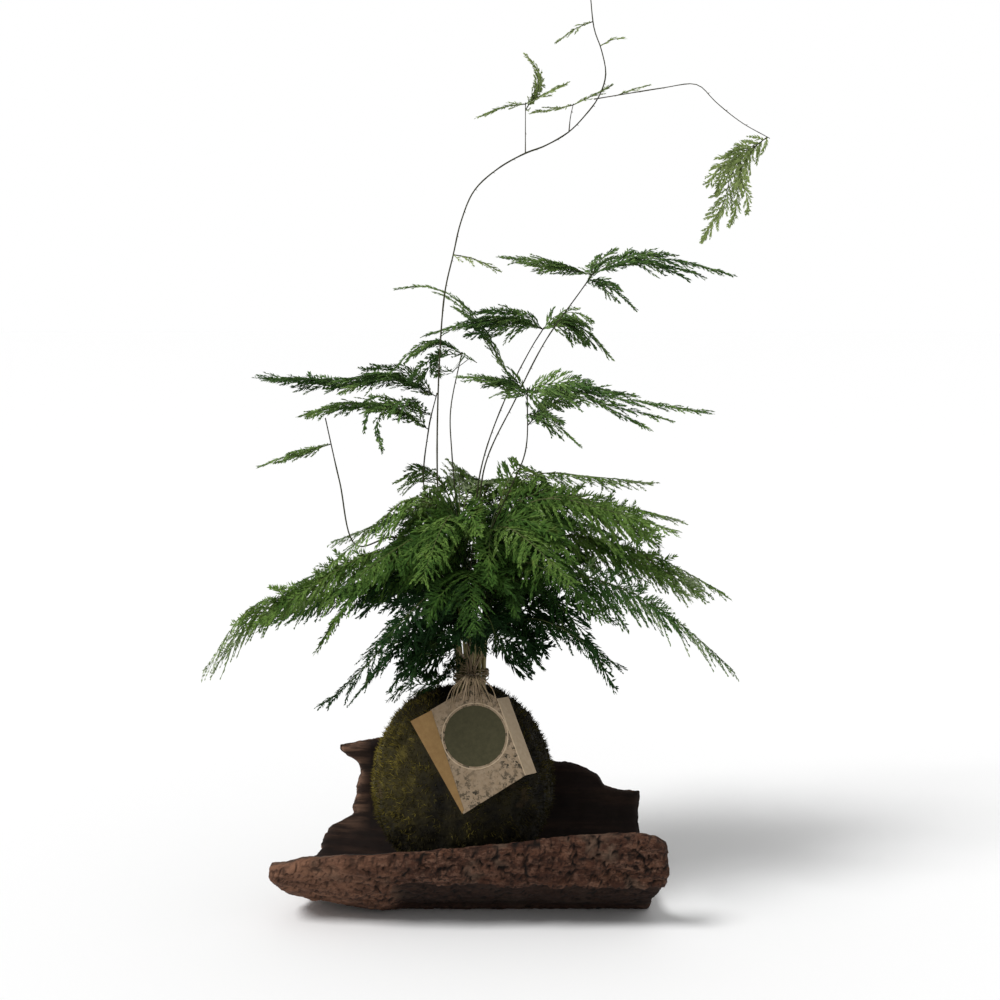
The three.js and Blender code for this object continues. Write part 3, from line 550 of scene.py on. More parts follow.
def across_pair(direction):
    helper = np.where(np.abs(direction[..., 2:3]) < 0.9, [[0.0, 0.0, 1.0]], [[1.0, 0.0, 0.0]])
    side = unit(np.cross(direction, helper))
    return side, np.cross(direction, side)


def ring_ways(turn, side, other, flat=1.0):
    return np.cos(turn)[None, :, None] * side[:, None] + flat * np.sin(turn)[None, :, None] * other[:, None]


def tube(shape, points, radii, sides, shade, slot=0, flat=1.0, face=None):
    """A closed tube round a line. flat thins it towards the direction face, for a ribbon."""
    points = np.asarray(points, float)
    count = len(points)
    radii = np.broadcast_to(np.asarray(radii, float), count)
    along = unit(np.gradient(points, axis=0))
    if face is None:
        side, other = across_pair(along)
        for i in range(1, count):
            side[i] = unit(side[i - 1] - along[i] * np.dot(side[i - 1], along[i]))
        other = np.cross(along, side)
    else:
        other = unit(face - along * np.sum(face * along, -1, keepdims=True))
        side = np.cross(other, along)
    body = points[:, None] + ring_ways(round_turns(sides), side, other, flat) * radii[:, None, None]
    spots = np.vstack([body.reshape(-1, 3), points[:1], points[-1:]])
    shades = np.broadcast_to(np.asarray(shade, float), count)
    shades = np.concatenate([np.repeat(shades, sides), shades[:1], shades[-1:]])
    shape.add(spots, closed_rings(count, sides), shades, slot)


def repeated(pattern, count, points_each):
    """The faces of one small body, repeated for many."""
    return (np.arange(count)[:, None, None] * points_each + pattern[None]).reshape(-1, 3)


def spikes(shape, roots, directions, lengths, halves, shade, slot=0):
    """Many three-sided pointed spikes at once: thorns and blades of moss."""
    count = len(roots)
    directions = unit(directions)
    side, other = across_pair(directions)
    ring = ring_ways(np.array([0.0, 2.1, 4.2]), side, other)
    base = roots[:, None] + ring * np.broadcast_to(halves, count)[:, None, None]
    tips = roots + directions * np.broadcast_to(lengths, count)[:, None]
    spots = np.concatenate([base, tips[:, None]], 1).reshape(-1, 3)
    pattern = np.array([[0, 1, 3], [1, 2, 3], [2, 0, 3], [2, 1, 0]])
    shape.add(spots, repeated(pattern, count, 4), np.repeat(np.broadcast_to(shade, count), 4), slot)


def ribbons(shape, lines, faces_to, half, shade):
    """Many flat tapering strips at once, each along its own short line."""
    count, spans = lines.shape[:2]
    along = unit(np.gradient(lines, axis=1))
    side = unit(np.cross(along, faces_to))
    over = 0.35 * np.cross(side, along)
    ring = np.stack([side, over, -side, -over], 2)
    taper = np.linspace(1, 0.25, spans)[None, :, None, None]
    spots = (lines[:, :, None] + ring * taper * half).reshape(-1, 3)
    i, j = crossed(np.arange(spans - 1), np.arange(4))
    a, b = i * 4 + j, i * 4 + (j + 1) % 4
    last = 4 * (spans - 1)
    pattern = np.vstack([
        columns(a, b + 4, b),
        columns(a, a + 4, b + 4),
        [[0, 1, 2], [0, 2, 3], [last + 2, last + 1, last], [last + 3, last + 2, last]],
    ])
    shape.add(spots, repeated(pattern, count, 4 * spans), shade)


def leaflets(shape, roots, directions, lengths, half, faces_to, shade):
    """Many pointed leaflets at once, each a thin keeled blade that is widest near its middle."""
    directions = unit(directions)
    side = unit(np.cross(directions, faces_to))
    over = np.cross(side, directions)
    middle = roots + directions * (NEEDLE_WIDEST * lengths)[:, None] + over * NEEDLE_KEEL * half
    tips = roots + directions * lengths[:, None]
    spots = np.stack([roots, middle + side * half, tips, middle - side * half], 1).reshape(-1, 3)
    pattern = np.array([[0, 2, 1], [0, 3, 2], [0, 1, 3], [1, 2, 3]])
    shape.add(spots, repeated(pattern, len(roots), 4), np.repeat(shade, 4))


# Materials, made of nodes
class Look:
    def __init__(self, name, roughness, shine=0.2):
        self.material = bpy.data.materials.new(name)
        self.material.use_nodes = True
        self.tree = self.material.node_tree
        self.tree.nodes.clear()
        self.shader = self.node("ShaderNodeBsdfPrincipled", Roughness=roughness, Specular_IOR_Level=shine)
        output = self.node("ShaderNodeOutputMaterial")
        self.tree.links.new(self.shader.outputs[0], output.inputs["Surface"])
        self.place = self.node("ShaderNodeTexCoord").outputs["Object"]

    def node(self, kind, **inputs):
        made = self.tree.nodes.new(kind)
        for name, value in inputs.items():
            self.set(made.inputs[name.replace("_", " ")], value)
        return made

    def set(self, socket, value):
        if isinstance(value, bpy.types.NodeSocket):
            self.tree.links.new(value, socket)
        else:
            socket.default_value = value

    def between(self, axis, low, high):
        """0 to 1 between two places along one axis of the object, in metres."""
        made = self.node("ShaderNodeSeparateXYZ", Vector=self.place)
        spread = self.node("ShaderNodeMapRange", Value=made.outputs[axis], From_Min=low, From_Max=high)
        return spread.outputs[0]

    def shade(self):
        """The shade that the mesh holds for each of its points."""
        made = self.node("ShaderNodeAttribute")
        made.attribute_name = "shade"
        return made.outputs["Fac"]

    def noise(self, scale, detail, roughness=0.6, stretch=(1, 1, 1)):
        place = self.place
        if stretch != (1, 1, 1):
            place = self.node("ShaderNodeMapping", Vector=self.place, Scale=stretch).outputs[0]
        made = self.node("ShaderNodeTexNoise", Scale=scale, Detail=detail, Roughness=roughness, Vector=place)
        return made.outputs["Fac"]

    def ramp(self, fac, *stops):
        """Stops are places with a colour code, or with a grey from 0 to 1."""
        made = self.node("ShaderNodeValToRGB", Fac=fac)
        ramp = made.color_ramp
        while len(ramp.elements) < len(stops):
            ramp.elements.new(0.5)
        for element, (at, colour) in zip(ramp.elements, stops):
            element.position = at
            element.color = rgb(colour) if isinstance(colour, str) else (colour, colour, colour, 1)
        return made.outputs["Color"]

    def math(self, kind, a, b):
        made = self.tree.nodes.new("ShaderNodeMath")
        made.operation = kind
        self.set(made.inputs[0], a)
        self.set(made.inputs[1], b)
        return made.outputs[0]

    def times(self, a, b):
        return self.math("MULTIPLY", a, b)

    def plus(self, a, b):
        return self.math("ADD", a, b)

    def blend(self, fac, a, b):
        made = self.tree.nodes.new("ShaderNodeMix")
        made.data_type = "RGBA"
        self.set(made.inputs["Factor"], fac)
        self.set(made.inputs[6], a)
        self.set(made.inputs[7], b)
        return made.outputs[2]

    def tint(self, colour, code, fac, *stops):
        """Lays one more colour over the others, where fac or its ramp says so."""
        return self.blend(self.ramp(fac, *stops) if stops else fac, colour, rgb(code))

    def finish(self, colour, height=None, deep=0.0):
        self.set(self.shader.inputs["Base Color"], colour)
        if height is not None:
            relief = self.node("ShaderNodeBump", Height=height, Strength=1.0, Distance=deep * MM)
            self.set(self.shader.inputs["Normal"], relief.outputs[0])
        return self.material


def rgb(code):
    parts = [int(code[i:i + 2], 16) / 255 for i in (0, 2, 4)]
    return (*(p / 12.92 if p <= 0.04045 else ((p + 0.055) / 1.055) ** 2.4 for p in parts), 1.0)


def leaf_look(name, dark, mid, light, dry):
    look = Look(name, 0.7, 0.1)
    fine = look.noise(420.0, 2.0)
    tone = look.plus(look.times(look.noise(26.0, 3.0), 0.55), look.times(look.shade(), 0.62))
    colour = look.ramp(tone, (0.18, dark), (0.5, mid), (0.78, light), (0.9, "96a57c"))
    colour = look.tint(colour, dry, look.noise(60.0, 2.0), (0.62, 0.0), (0.78, 0.5))
    colour = look.blend(look.ramp(fine, (0.35, 0.75), (0.7, 1.0)), rgb(dark), colour)
    return look.finish(colour, fine, 0.1)


def stem_look(name, low, mid, high):
    look = Look(name, 0.6)
    fibre = look.noise(160.0, 4.0, stretch=(1, 1, 0.12))
    colour = look.ramp(look.shade(), (0.0, low), (0.45, mid), (1.0, high))
    colour = look.tint(colour, "241f14", fibre, (0.35, 0.5), (0.62, 0.0))
    return look.finish(colour, fibre, 0.25)


def bark_outer_look():
    look = Look("rough_bark_outside", 0.92)
    grain = look.noise(130.0, 6.0, 0.7, (0.35, 1, 1))
    flakes = look.noise(250.0, 5.0, 0.75, (0.45, 1, 1))
    colour = look.ramp(grain, (0.3, "1d100a"), (0.48, "3e261b"), (0.6, "553829"), (0.75, "745543"))
    colour = look.tint(colour, "745747", flakes, (0.48, 0.0), (0.6, 0.7))
    colour = look.tint(colour, "1a0f0a", look.noise(420.0, 3.0), (0.36, 0.9), (0.5, 0.0))
    colour = look.tint(colour, "3c2318", look.noise(18.0, 5.0), (0.42, 0.0), (0.62, 0.5))
    colour = look.tint(colour, "655648", look.noise(34.0, 4.0), (0.55, 0.0), (0.68, 0.5))
    snout = look.times(look.between("X", -0.03, -0.1), look.ramp(grain, (0.4, 0.2), (0.62, 0.9)))
    colour = look.tint(colour, "7d5a46", snout)
    # Darkens the cracks, and the undercut band, which is partly darker inner bark and partly painted shade.
    colour = look.tint(colour, "0f0805", look.shade(), (0.1, 1.0), (0.75, 0.0))
    height = look.plus(look.times(grain, 1.2), look.times(look.noise(700.0, 4.0, 0.7), 0.5))
    return look.finish(colour, height, 1.1)


def bark_inner_look():
    look = Look("smooth_bark_inside", 0.8)
    fibre = look.noise(90.0, 6.0, 0.65, (0.12, 1, 1))
    streaks = look.noise(220.0, 5.0, 0.6, (0.1, 1, 1))
    colour = look.ramp(fibre, (0.3, "0c0705"), (0.55, "1d120d"), (0.75, "33231a"))
    colour = look.tint(colour, "150e09", look.noise(30.0, 4.0), (0.55, 0.0), (0.72, 0.5))
    edge = look.times(look.between("X", -0.07, -0.08), look.between("Z", 0.03, 0.05))
    colour = look.tint(colour, "725645", look.times(edge, look.ramp(streaks, (0.42, 0.1), (0.58, 0.9))))
    return look.finish(colour, fibre, 0.5)


def moss_look():
    look = Look("cushion_moss", 0.85)
    patch = look.ramp(look.noise(85.0, 6.0, 0.7), (0.3, 0.0), (0.7, 1.0))
    tone = look.plus(look.times(look.shade(), 0.6), look.times(patch, 0.38))
    colour = look.ramp(tone, (0.15, "0a0702"), (0.42, "201b07"), (0.66, "3f3810"), (0.9, "6a6024"))
    colour = look.tint(colour, "201d0a", look.noise(28.0, 4.0), (0.48, 0.0), (0.66, 0.6))
    # Painted sunlight: the upper left of the moss is tinted a lighter yellow-green, as if lit from the left.
    painted_sunlit_side = look.times(look.between("X", -0.015, -0.055), look.between("Z", 0.05, 0.1))
    colour = look.tint(colour, "8a7c34", look.times(painted_sunlit_side, look.ramp(tone, (0.3, 0.1), (0.75, 1.0))))
    colour = look.tint(colour, "463621", look.noise(50.0, 2.0), (0.64, 0.0), (0.75, 0.5))
    return look.finish(colour, look.noise(900.0, 3.0), 0.4)


def soil_look():
    look = Look("damp_soil", 0.95)
    crumbs = look.noise(260.0, 5.0, 0.7)
    colour = look.ramp(crumbs, (0.3, "120c08"), (0.55, "2f2117"), (0.75, "4c3826"))
    return look.finish(colour, crumbs, 1.2)


def raffia_look():
    look = Look("dry_raffia", 0.75)
    fibre = look.noise(240.0, 5.0, 0.7, (1, 1, 0.15))
    colour = look.ramp(fibre, (0.3, "5a4a38"), (0.5, "8e7a62"), (0.7, "b8a58a"))
    return look.finish(look.tint(colour, "5f5638", look.shade()), fibre, 0.2)


def card_look(name, base, warm, fleck=None):
    look = Look(name, 0.8)
    pulp = look.noise(300.0, 4.0, 0.7)
    colour = look.ramp(pulp, (0.3, warm), (0.65, base))
    colour = look.tint(colour, warm, look.noise(40.0, 3.0), (0.4, 0.0), (0.7, 0.35))
    if fleck:
        speck = look.ramp(look.noise(310.0, 3.0, 0.75), (0.5, 0.0), (0.57, 1.0))
        where = look.ramp(look.noise(55.0, 2.0), (0.34, 0.15), (0.6, 1.0))
        colour = look.tint(colour, fleck, look.times(speck, where))
    return look.finish(colour, pulp, 0.08)


# Bark
def bark_lift(x):
    along = np.maximum(0, (BARK_LIFT_START - x) / (BARK_LIFT_START - BARK_LEFT[0]))
    return BARK_LIFT * along ** BARK_LIFT_POWER


def bark_turns(x):
    """The turns at which the front and back rims stand."""
    lift = bark_lift(x)
    front, back = (np.arccos(1 - (read_table(*rim, x) + BARK_SINK - lift) / BARK_RADIUS)
                   for rim in (BARK_RIM_FRONT, BARK_RIM_BACK))
    return -front, back


def bark_thick(turn, round_):
    return mix(*BARK_THICK, round_) + BARK_THICK_FLOOR * bump(turn, 0, 0.55)


def bark_face(x, turn):
    """Relief of the rough outer face, and how dark each point is: cracks, and the undercut band, which is
    partly darker inner bark and partly painted shade under the curl.
    """
    arc = turn * BARK_RADIUS
    coarse = BARK_FURROW * noise(x / 34, turn * 7, 3) + BARK_PLATE * noise(x / 13, turn * 9, 9)
    warp = 4.0 * noise(x / 17, arc / 9, 41) + 1.5 * noise(x / 5, arc / 4, 43)
    long, tall = BARK_PLATE_SIZE
    gap, plate = plates((x + 1.6 * warp) / long, (arc + 0.6 * warp) / tall, 11)
    long, tall = BARK_FLAKE_SIZE
    gap_small, flake = plates((x - warp) / long, (arc + 0.5 * warp) / tall, 23)
    plated = smoothstep(*BARK_PLATED, x)
    crack = (1 - smoothstep(0.0, BARK_CRACK_WIDE, gap)) * mix(0.3, 1, plated)
    check = 1 - smoothstep(0.0, BARK_CHECK_WIDE, gap_small)
    split = np.abs(noise(x / 38, (arc + 0.3 * warp) / 2.9, 51))
    split = (1 - smoothstep(0.0, BARK_SPLIT_WIDE, split)) * mix(1.0, 0.4, plated)
    relief = (coarse - BARK_CRACK_DEEP * crack - BARK_CHECK_DEEP * check - BARK_SPLIT_DEEP * split
              + BARK_PLATE_STEP * plate * plated + BARK_FLAKE_STEP * flake
              + BARK_GRIT * noise(x / 2.6, arc / 1.6, 61))
    off_foot = smoothstep(*BARK_FOOT_TURNS, np.abs(turn))
    top, full, foot, end = BARK_UNDERCUT_TURNS
    ragged = turn + 0.035 * noise(x / 11, 3, 91) + 0.02 * noise(x / 4, 5, 93)
    under = smoothstep(top, full, ragged) * (1 - smoothstep(foot, end, turn))
    under = under * smoothstep(*BARK_UNDERCUT_ENDS, x)
    dark = np.maximum(crack, np.maximum(0.7 * check, 0.8 * split))
    relief = relief * mix(0.25, 1, off_foot) * mix(1, 0.5, under) - BARK_UNDERCUT * under
    # The undercut band is darkened as well as recessed: partly its darker inner bark, partly painted shade
    # under the curl of the wall.
    return relief, np.clip(np.maximum(dark, 0.75 * under), 0, 1)


def bark_spot(along, round_, depth):
    """Points of the trough and their shade, for shares of its length, its curl and its wall."""
    low, full, fade, high = BARK_BITE_TURNS
    bite = smoothstep(low, full, round_) * (1 - smoothstep(fade, high, round_))
    torn = BARK_BITE * bite - BARK_CORNER * bump(round_, 1, BARK_CORNER_WIDE)
    splinter = 1.2 * noise(round_ * 45, 2, 8) + 0.6 * noise(round_ * 110, depth * 4, 8)
    left = mix(*BARK_LEFT, round_) + torn + BARK_RAGGED * noise(round_ * 9, 1, 5) + splinter
    right = mix(*BARK_RIGHT, round_) + BARK_RAGGED * noise(round_ * 9, 4, 5) - 0.7 * splinter
    x = mix(left, right, along)
    low, high = bark_turns(x)
    worn = 0.008 * noise(x / 7, depth * 2, 31) + 0.006 * noise(x / 2.5, depth * 3, 33)
    turn = mix(low, high, round_) + worn * (smoothstep(0.9, 1, round_) - smoothstep(0.1, 0, round_))
    to_rim = np.minimum(round_, 1 - round_) * (high - low) * BARK_RADIUS
    to_end = np.minimum(along, 1 - along) * (right - left)
    nearest = np.minimum(to_rim, to_end)
    curve = 1 - np.sqrt(1 - (1 - np.clip(nearest / BARK_EDGE, 0, 1)) ** 2)
    rounding = BARK_EDGE_ROUND * curve * (0.5 - depth) * 2
    outer, dark = bark_face(x, turn)
    arc = turn * BARK_RADIUS
    inner = (0.5 * noise(x / 20, turn * 5, 21) + 0.35 * noise(x / 30, arc / 2, 71)
             + 0.3 * noise(x / 5, arc / 4, 81))
    reach = BARK_RADIUS - (1 - depth) * bark_thick(turn, round_) + mix(inner, outer, depth) + rounding
    z = BARK_RADIUS + bark_lift(x) - BARK_SINK - reach * np.cos(turn)
    return columns(x, reach * np.sin(turn), np.maximum(0, z)), 1 - dark * depth


def bark_trough(materials):
    sizes = np.array(BARK_CELLS)
    grid = columns(*np.meshgrid(*(np.arange(n + 1) for n in sizes), indexing="ij"))
    edge = ((grid == 0) | (grid == sizes)).any(-1)
    index = np.full(edge.shape, -1)
    index[edge] = np.arange(edge.sum())
    spots, shade = bark_spot(*(grid[edge] / sizes).T)
    faces, slots = [], []
    for axis in range(3):
        for end in (0, sizes[axis]):
            sheet = np.take(index, end, axis)
            quads = columns(sheet[:-1, :-1], sheet[1:, :-1], sheet[1:, 1:], sheet[:-1, 1:]).reshape(-1, 4)
            if (end == 0) == (axis != 1):
                quads = quads[:, ::-1]
            inside = axis == 2 and end == 0
            faces.append(quads)
            slots.append(np.full(len(quads), int(inside)))
    faces = np.vstack(faces)
    a, b, c, d = np.moveaxis(spots[faces], 1, 0)
    volume = np.sum(np.cross(a, b) * c) + np.sum(np.cross(a, c) * d)
    shape = Shape()
    shape.add(spots, faces if volume > 0 else faces[:, ::-1], shade, np.concatenate(slots))
    return shape.build("bark_trough_rough", materials, smooth=True)


def bark_inside(spots):
    """How far inside the bark's inner face each point is, where the wall stands beside it."""
    x, y = spots[:, 0], spots[:, 1]
    z = BARK_RADIUS + bark_lift(x) - BARK_SINK - spots[:, 2]
    turn = np.arctan2(y, z)
    low, high = bark_turns(x)
    round_ = np.clip((turn - low) / (high - low), 0, 1)
    room = BARK_RADIUS - bark_thick(turn, round_) - BARK_CLEAR - np.hypot(y, z)
    return np.where((turn > low - 0.06) & (turn < high + 0.06), room, 20.0)


# Moss
def ball_spot(angle, around, wide, tall):
    return columns(
        wide * np.sin(angle) * np.cos(around),
        wide * np.sin(angle) * np.sin(around),
        BALL_HEIGHT + tall * np.cos(angle),
    )


def moss_surface(angle, around):
    """Points of the moss's skin, and how far each of its fine lumps stands out."""
    spot = ball_spot(angle, around, BALL_WIDE, BALL_TALL)
    lumps = MOSS_LUMP * (0.6 * noise_at(spot, 21) + 0.6 * noise_at(spot, 9))
    fine = 1.1 * noise_at(spot, 5.5) + 0.5 * noise_at(spot, 2.4)
    room = np.clip(bark_inside(spot) / 4, 0, 1)
    skin = np.where(behind_card(spot, 3.0, 3.0), MOSS_BEHIND_CARD, (fine - 0.3) * room)
    swell = 1 + (np.minimum(lumps, lumps * room) + skin) / BALL_WIDE
    height = BALL_HEIGHT + (spot[:, 2] - BALL_HEIGHT) * swell
    return columns(spot[:, 0] * swell, spot[:, 1] * swell, height), fine


def moss_ball(material):
    shape = Shape()
    around = round_turns(MOSS_TURNS)
    skin, fine = moss_surface(*crossed(np.linspace(math.pi - POLE_GAP, NECK_ANGLE, MOSS_ROWS), around))
    inner = crossed(np.linspace(NECK_ANGLE, math.pi - POLE_GAP, MOSS_INNER_ROWS), around)
    lining = ball_spot(*inner, BALL_WIDE - MOSS_THICK, BALL_TALL - MOSS_THICK)
    pole = np.array([math.pi]), np.zeros(1)
    spots = np.vstack([
        skin,
        lining,
        ball_spot(*pole, BALL_WIDE, BALL_TALL - 0.5),
        ball_spot(*pole, 1, BALL_TALL - MOSS_THICK),
    ])
    shade = np.concatenate([0.12 + 0.1 * fine, np.full(len(lining) + 2, 0.1)])
    shape.add(spots, closed_rings(MOSS_ROWS + MOSS_INNER_ROWS, MOSS_TURNS), np.clip(shade, 0, 1))
    add_tufts(shape)
    return shape.build("moss_jacket_tufted", [material])


def add_tufts(shape):
    """Blades of moss in clumps, but none in the bark or behind the card."""
    chance = np.random.default_rng(MOSS_SEED)
    cosines = chance.uniform(-0.97, math.cos(NECK_ANGLE) + 0.02, MOSS_TUFTS)
    turn = chance.uniform(0, 2 * math.pi, MOSS_TUFTS)
    roots, _ = moss_surface(np.arccos(cosines), turn)
    outward = unit(roots - [0, 0, BALL_HEIGHT])
    clump = noise_at(roots, 4.6) + 0.4 * noise_at(roots, 2.1)
    lean = columns(*(noise(*(roots / 7 + k * 9.1).T) for k in range(3)))
    blade = unit(outward + 0.7 * lean + 0.5 * chance.normal(size=roots.shape) + [0, 0, 0.1])
    length = np.clip(TUFT_LONG + 1.5 * clump + chance.uniform(-0.7, 1.2, MOSS_TUFTS), *TUFT_LIMITS)
    tips = roots + blade * length[:, None]
    room = np.minimum(bark_inside(tips), bark_inside(roots) + 1)
    keep = (room > 0.3) & ~behind_card(tips, 1.0, 0.0)
    shade = np.clip(0.4 + 0.42 * clump + chance.uniform(-0.2, 0.32, MOSS_TUFTS), 0, 1)
    half = chance.uniform(*TUFT_HALF, MOSS_TUFTS)
    sunk = roots - TUFT_ROOT * outward
    spikes(shape, sunk[keep], blade[keep], length[keep] + TUFT_ROOT, half[keep], shade[keep])


# Foliage
def canopy_height(out, around, level):
    height = 0
    for quarter, (low, high) in enumerate(CANOPY):
        weight = np.maximum(0, np.cos(around - quarter * math.pi / 2)) ** 2
        height = height + weight * mix(read_table(OUT, low, out), read_table(OUT, high, out), level)
    return height


def flat_spray(length, reach, chance, coarse, spread):
    """Twigs and needles of one spray, drawn flat: x along the rib, y across and z off its face."""
    pairs = max(4, round(length / PINNA_PITCH))
    count = 2 * pairs
    side = np.repeat([-1.0, 1.0], pairs)
    place = np.tile(np.arange(pairs), 2) + 0.4 + 0.25 * side
    start = length / (pairs + 0.4) * (place + chance.normal(0, 0.1, count))
    s = np.clip(start / length, 0, 1)
    size = reach * np.minimum(1, 0.62 + 1.6 * s) * (1 - 0.74 * s ** 1.6)
    size *= 1 + chance.uniform(-0.28, 0.16, count)
    lean = np.radians(spread * mix(*PINNA_LEAN, s) + chance.normal(0, 7.5, count))
    curl = np.radians(chance.normal(-18, 12, count))
    rise = chance.normal(0, 0.11, count)

    # The end of the rib counts as one more twig
    side, start, size = np.append(side, 1), np.append(start, 0.72 * length), np.append(size, 0.28 * length)
    lean, curl, rise = (np.append(v, 0) for v in (lean, curl, rise))

    def spot(who, t):
        turn = lean[who] + 0.5 * curl[who] * t
        far = size[who] * t
        across = side[who] * far * np.sin(turn)
        return columns(start[who] + far * np.cos(turn), across, far * (rise[who] - 0.03 * t))

    twigs = spot(np.arange(count + 1)[:, None], np.linspace(0, 1, 4)[None])

    # Pairs of needles along each twig
    counts = np.maximum(3, (size / (NEEDLE_PITCH * coarse)).astype(int))
    who = np.repeat(np.arange(count + 1), 2 * counts)
    order = np.arange(len(who)) - np.repeat(np.cumsum(2 * counts) - 2 * counts, 2 * counts)
    t = np.clip((order // 2 + 0.5 + chance.normal(0, 0.3, len(who))) / counts[who], 0, 1)
    hand = np.where(order % 2, 1.0, -1.0)
    turn = side[who] * (lean[who] + curl[who] * t)
    turn += hand * (0.5 - 0.25 * t + chance.normal(0, 0.1, len(who)))
    ways = columns(np.cos(turn), np.sin(turn), rise[who] + chance.normal(0.03, 0.18, len(who)))
    taper = (0.5 + 0.5 * np.minimum(1, t / 0.18)) * (1 - 0.55 * t ** 2)
    widest = NEEDLE_LONG * coarse * np.minimum(1, 0.45 + size[who] / 26)
    return twigs, spot(who, t), ways, widest * taper * chance.uniform(0.75, 1.15, len(who))


def grow(shape, bend, length, reach, chance, tone, rib, coarse=1.0, spread=1.0):
    """Bends a flat spray into place. bend gives a point in space for a flat one."""
    flat_twigs, flat_roots, flat_ways, long = flat_spray(length, reach, chance, coarse, spread)

    def axes(flat):
        step = 0.5
        ahead = unit(bend(flat + [step, 0, 0]) - bend(flat - [step, 0, 0]))
        beside = unit(bend(flat + [0, step, 0]) - bend(flat - [0, step, 0]))
        return ahead, beside, unit(np.cross(ahead, beside))

    xs = np.linspace(0, length, max(8, int(length / 6)))
    line = bend(columns(xs, 0 * xs, 0 * xs))
    if inside_box(line).all():
        tube(shape, line, np.linspace(rib, RIB_TIP, len(xs)), 5, np.linspace(0.72, 1, len(xs)), slot=1)
    twigs = bend(flat_twigs)
    keep = inside_box(twigs).all(-1)
    ribbons(shape, twigs[keep], axes(flat_twigs)[2][keep], TWIG_HALF * coarse, tone)
    base = bend(flat_roots)
    ahead, beside, above = axes(flat_roots)
    ways = unit(flat_ways[:, :1] * ahead + flat_ways[:, 1:2] * beside + flat_ways[:, 2:] * above)
    shade = np.clip(needle_tone(tone, base) + chance.normal(0, 0.08, len(base)), 0, 1)
    keep = inside_box(base + ways * long[:, None])
    turned = above + chance.normal(0, NEEDLE_TWIST, base.shape)
    half = NEEDLE_HALF * coarse
    leaflets(shape, base[keep], ways[keep], long[keep], half, turned[keep], shade[keep])


def needle_tone(tone, base):
    """Needles get painted shade deep in the bush and under its brow, and are paler at its far tips."""
    x, y, z = base.T
    out = np.hypot(x - CROWN_X, y)
    deep = (1 - smoothstep(*CORE_OUT, out)) * (1 - smoothstep(*CORE_TOP, z))
    brow = (1 - smoothstep(*BROW_TOP, z)) * bump(x, CROWN_X + 8, BROW_WIDE)
    deep = np.maximum(deep, BROW_PAINTED_SHADE * brow)
    tip = smoothstep(*TIP_OUT, out) * (1 - smoothstep(*TIP_BELOW, z))
    return tone - CORE_PAINTED_SHADE * deep + TIP_PALE * tip + PATCH_TONE * noise_at(base, PATCH_SIZE)


def flat_parts(flat):
    return np.moveaxis(np.asarray(flat, float), -1, 0)


def branch_bend(bend, start, angle, lift, roll):
    """A side branch: the same bent surface, read from a plane that is turned, rolled and lifted."""
    angle = math.radians(angle)

    def turned(flat):
        x, y, rise = flat_parts(flat)
        across = y * math.cos(roll) - rise * math.sin(roll)
        up = y * math.sin(roll) + rise * math.cos(roll) + lift * (1 - np.exp(-np.maximum(x, 0) / 14))
        return bend(columns(
            start + x * math.cos(angle) - across * math.sin(angle),
            x * math.sin(angle) + across * math.cos(angle),
            up,
        ))

    return turned


def inside_box(spots):
    return ((spots > BOX_LOW) & (spots < BOX_HIGH)).all(-1)


def frond_bend(number):
    """The surface that a frond of the bush lies on."""
    degrees, level, reach, _, sway, droop, hang, sink = FRONDS[number]
    around = math.radians(degrees)
    length = reach - SPRAY_START

    def bend(flat):
        x, y, rise = flat_parts(flat)
        out = SPRAY_START + x
        wide = y + sway * (x / length) ** 2
        px = out * math.cos(around) - wide * math.sin(around)
        py = out * math.sin(around) + wide * math.cos(around)
        far, way = np.hypot(px, py), np.arctan2(py, px)
        slope = (canopy_height(far + 1, way, level) - canopy_height(far - 1, way, level)) / 2
        hanging = (droop * y * y + hang * np.abs(y) * mix(0.3, 1, x / length)
                   + sink * smoothstep(*SINK_OUT, far))
        height = canopy_height(far, way, level) + rise * np.hypot(1, slope) - hanging
        return columns(CROWN_X + px, py, height)

    return bend


def frond_stem(shape, number, bend):
    """The stem, from its foot in the soil up to the frond's own spray."""
    around, level = math.radians(FRONDS[number][0]), FRONDS[number][1]

    def radial(out, height):
        return (CROWN_X + out * math.cos(around), out * math.sin(around), height)

    ring = CROWN_RING_OUTER if number % 2 else CROWN_RING_INNER
    line = spline([
        radial(ring, STEM_FOOT),
        radial(ring, STEM_STRAIGHT),
        radial(ring + 0.3, CROWN_TOP),
        radial(mix(18, 13, level), mix(192, 240, level)),
        radial(SPRAY_START, bend([0, 0, 0])[2] - RIB_BELOW),
        radial(SPRAY_START + 5, bend([5, 0, 0])[2] - RIB_BELOW),
    ], 7)
    height = line[:, 2]
    loose = 1.3 * bump(height, 204, 16)
    wander = columns(noise(height / 9, number, 5), noise(height / 9, number, 6), 0 * height)
    line = line + loose[:, None] * wander
    thick = np.where(height < 185, 1.0, 0.62) + 0.1 * noise(height / 6, number, 3)
    tube(shape, line, thick, STEM_SIDES, smoothstep(*STEM_PALE_TOP, height), slot=1)


def frond_branches(degrees, level, tone):
    """The side branches of a frond, each with its tone and how coarse its needles are."""
    inner = CORE_COARSE if level < CORE_LEVEL else INNER_COARSE
    low = LOW_BRANCHES.get(degrees, [])
    outer = []
    if degrees in BROAD_ARMS:
        outer = OUTER_BRANCHES
    if degrees in ARMS:
        outer = ARM_BRANCHES + (ARM_FRINGE if degrees in FRINGED_ARMS else [])
    front, end = CROWN_FRONT
    crown = CROWN_BRANCHES if front < degrees < end else []
    # Inner and crown branches get a lower tone than the frond: painted shade inside the bush.
    groups = [(INNER_BRANCHES, tone - 0.15, inner), (outer, tone, OUTER_COARSE),
              (crown, tone - 0.1, inner), (low, tone + 0.1, OUTER_COARSE)]
    return [(branch, shade, coarse) for group, shade, coarse in groups for branch in group]


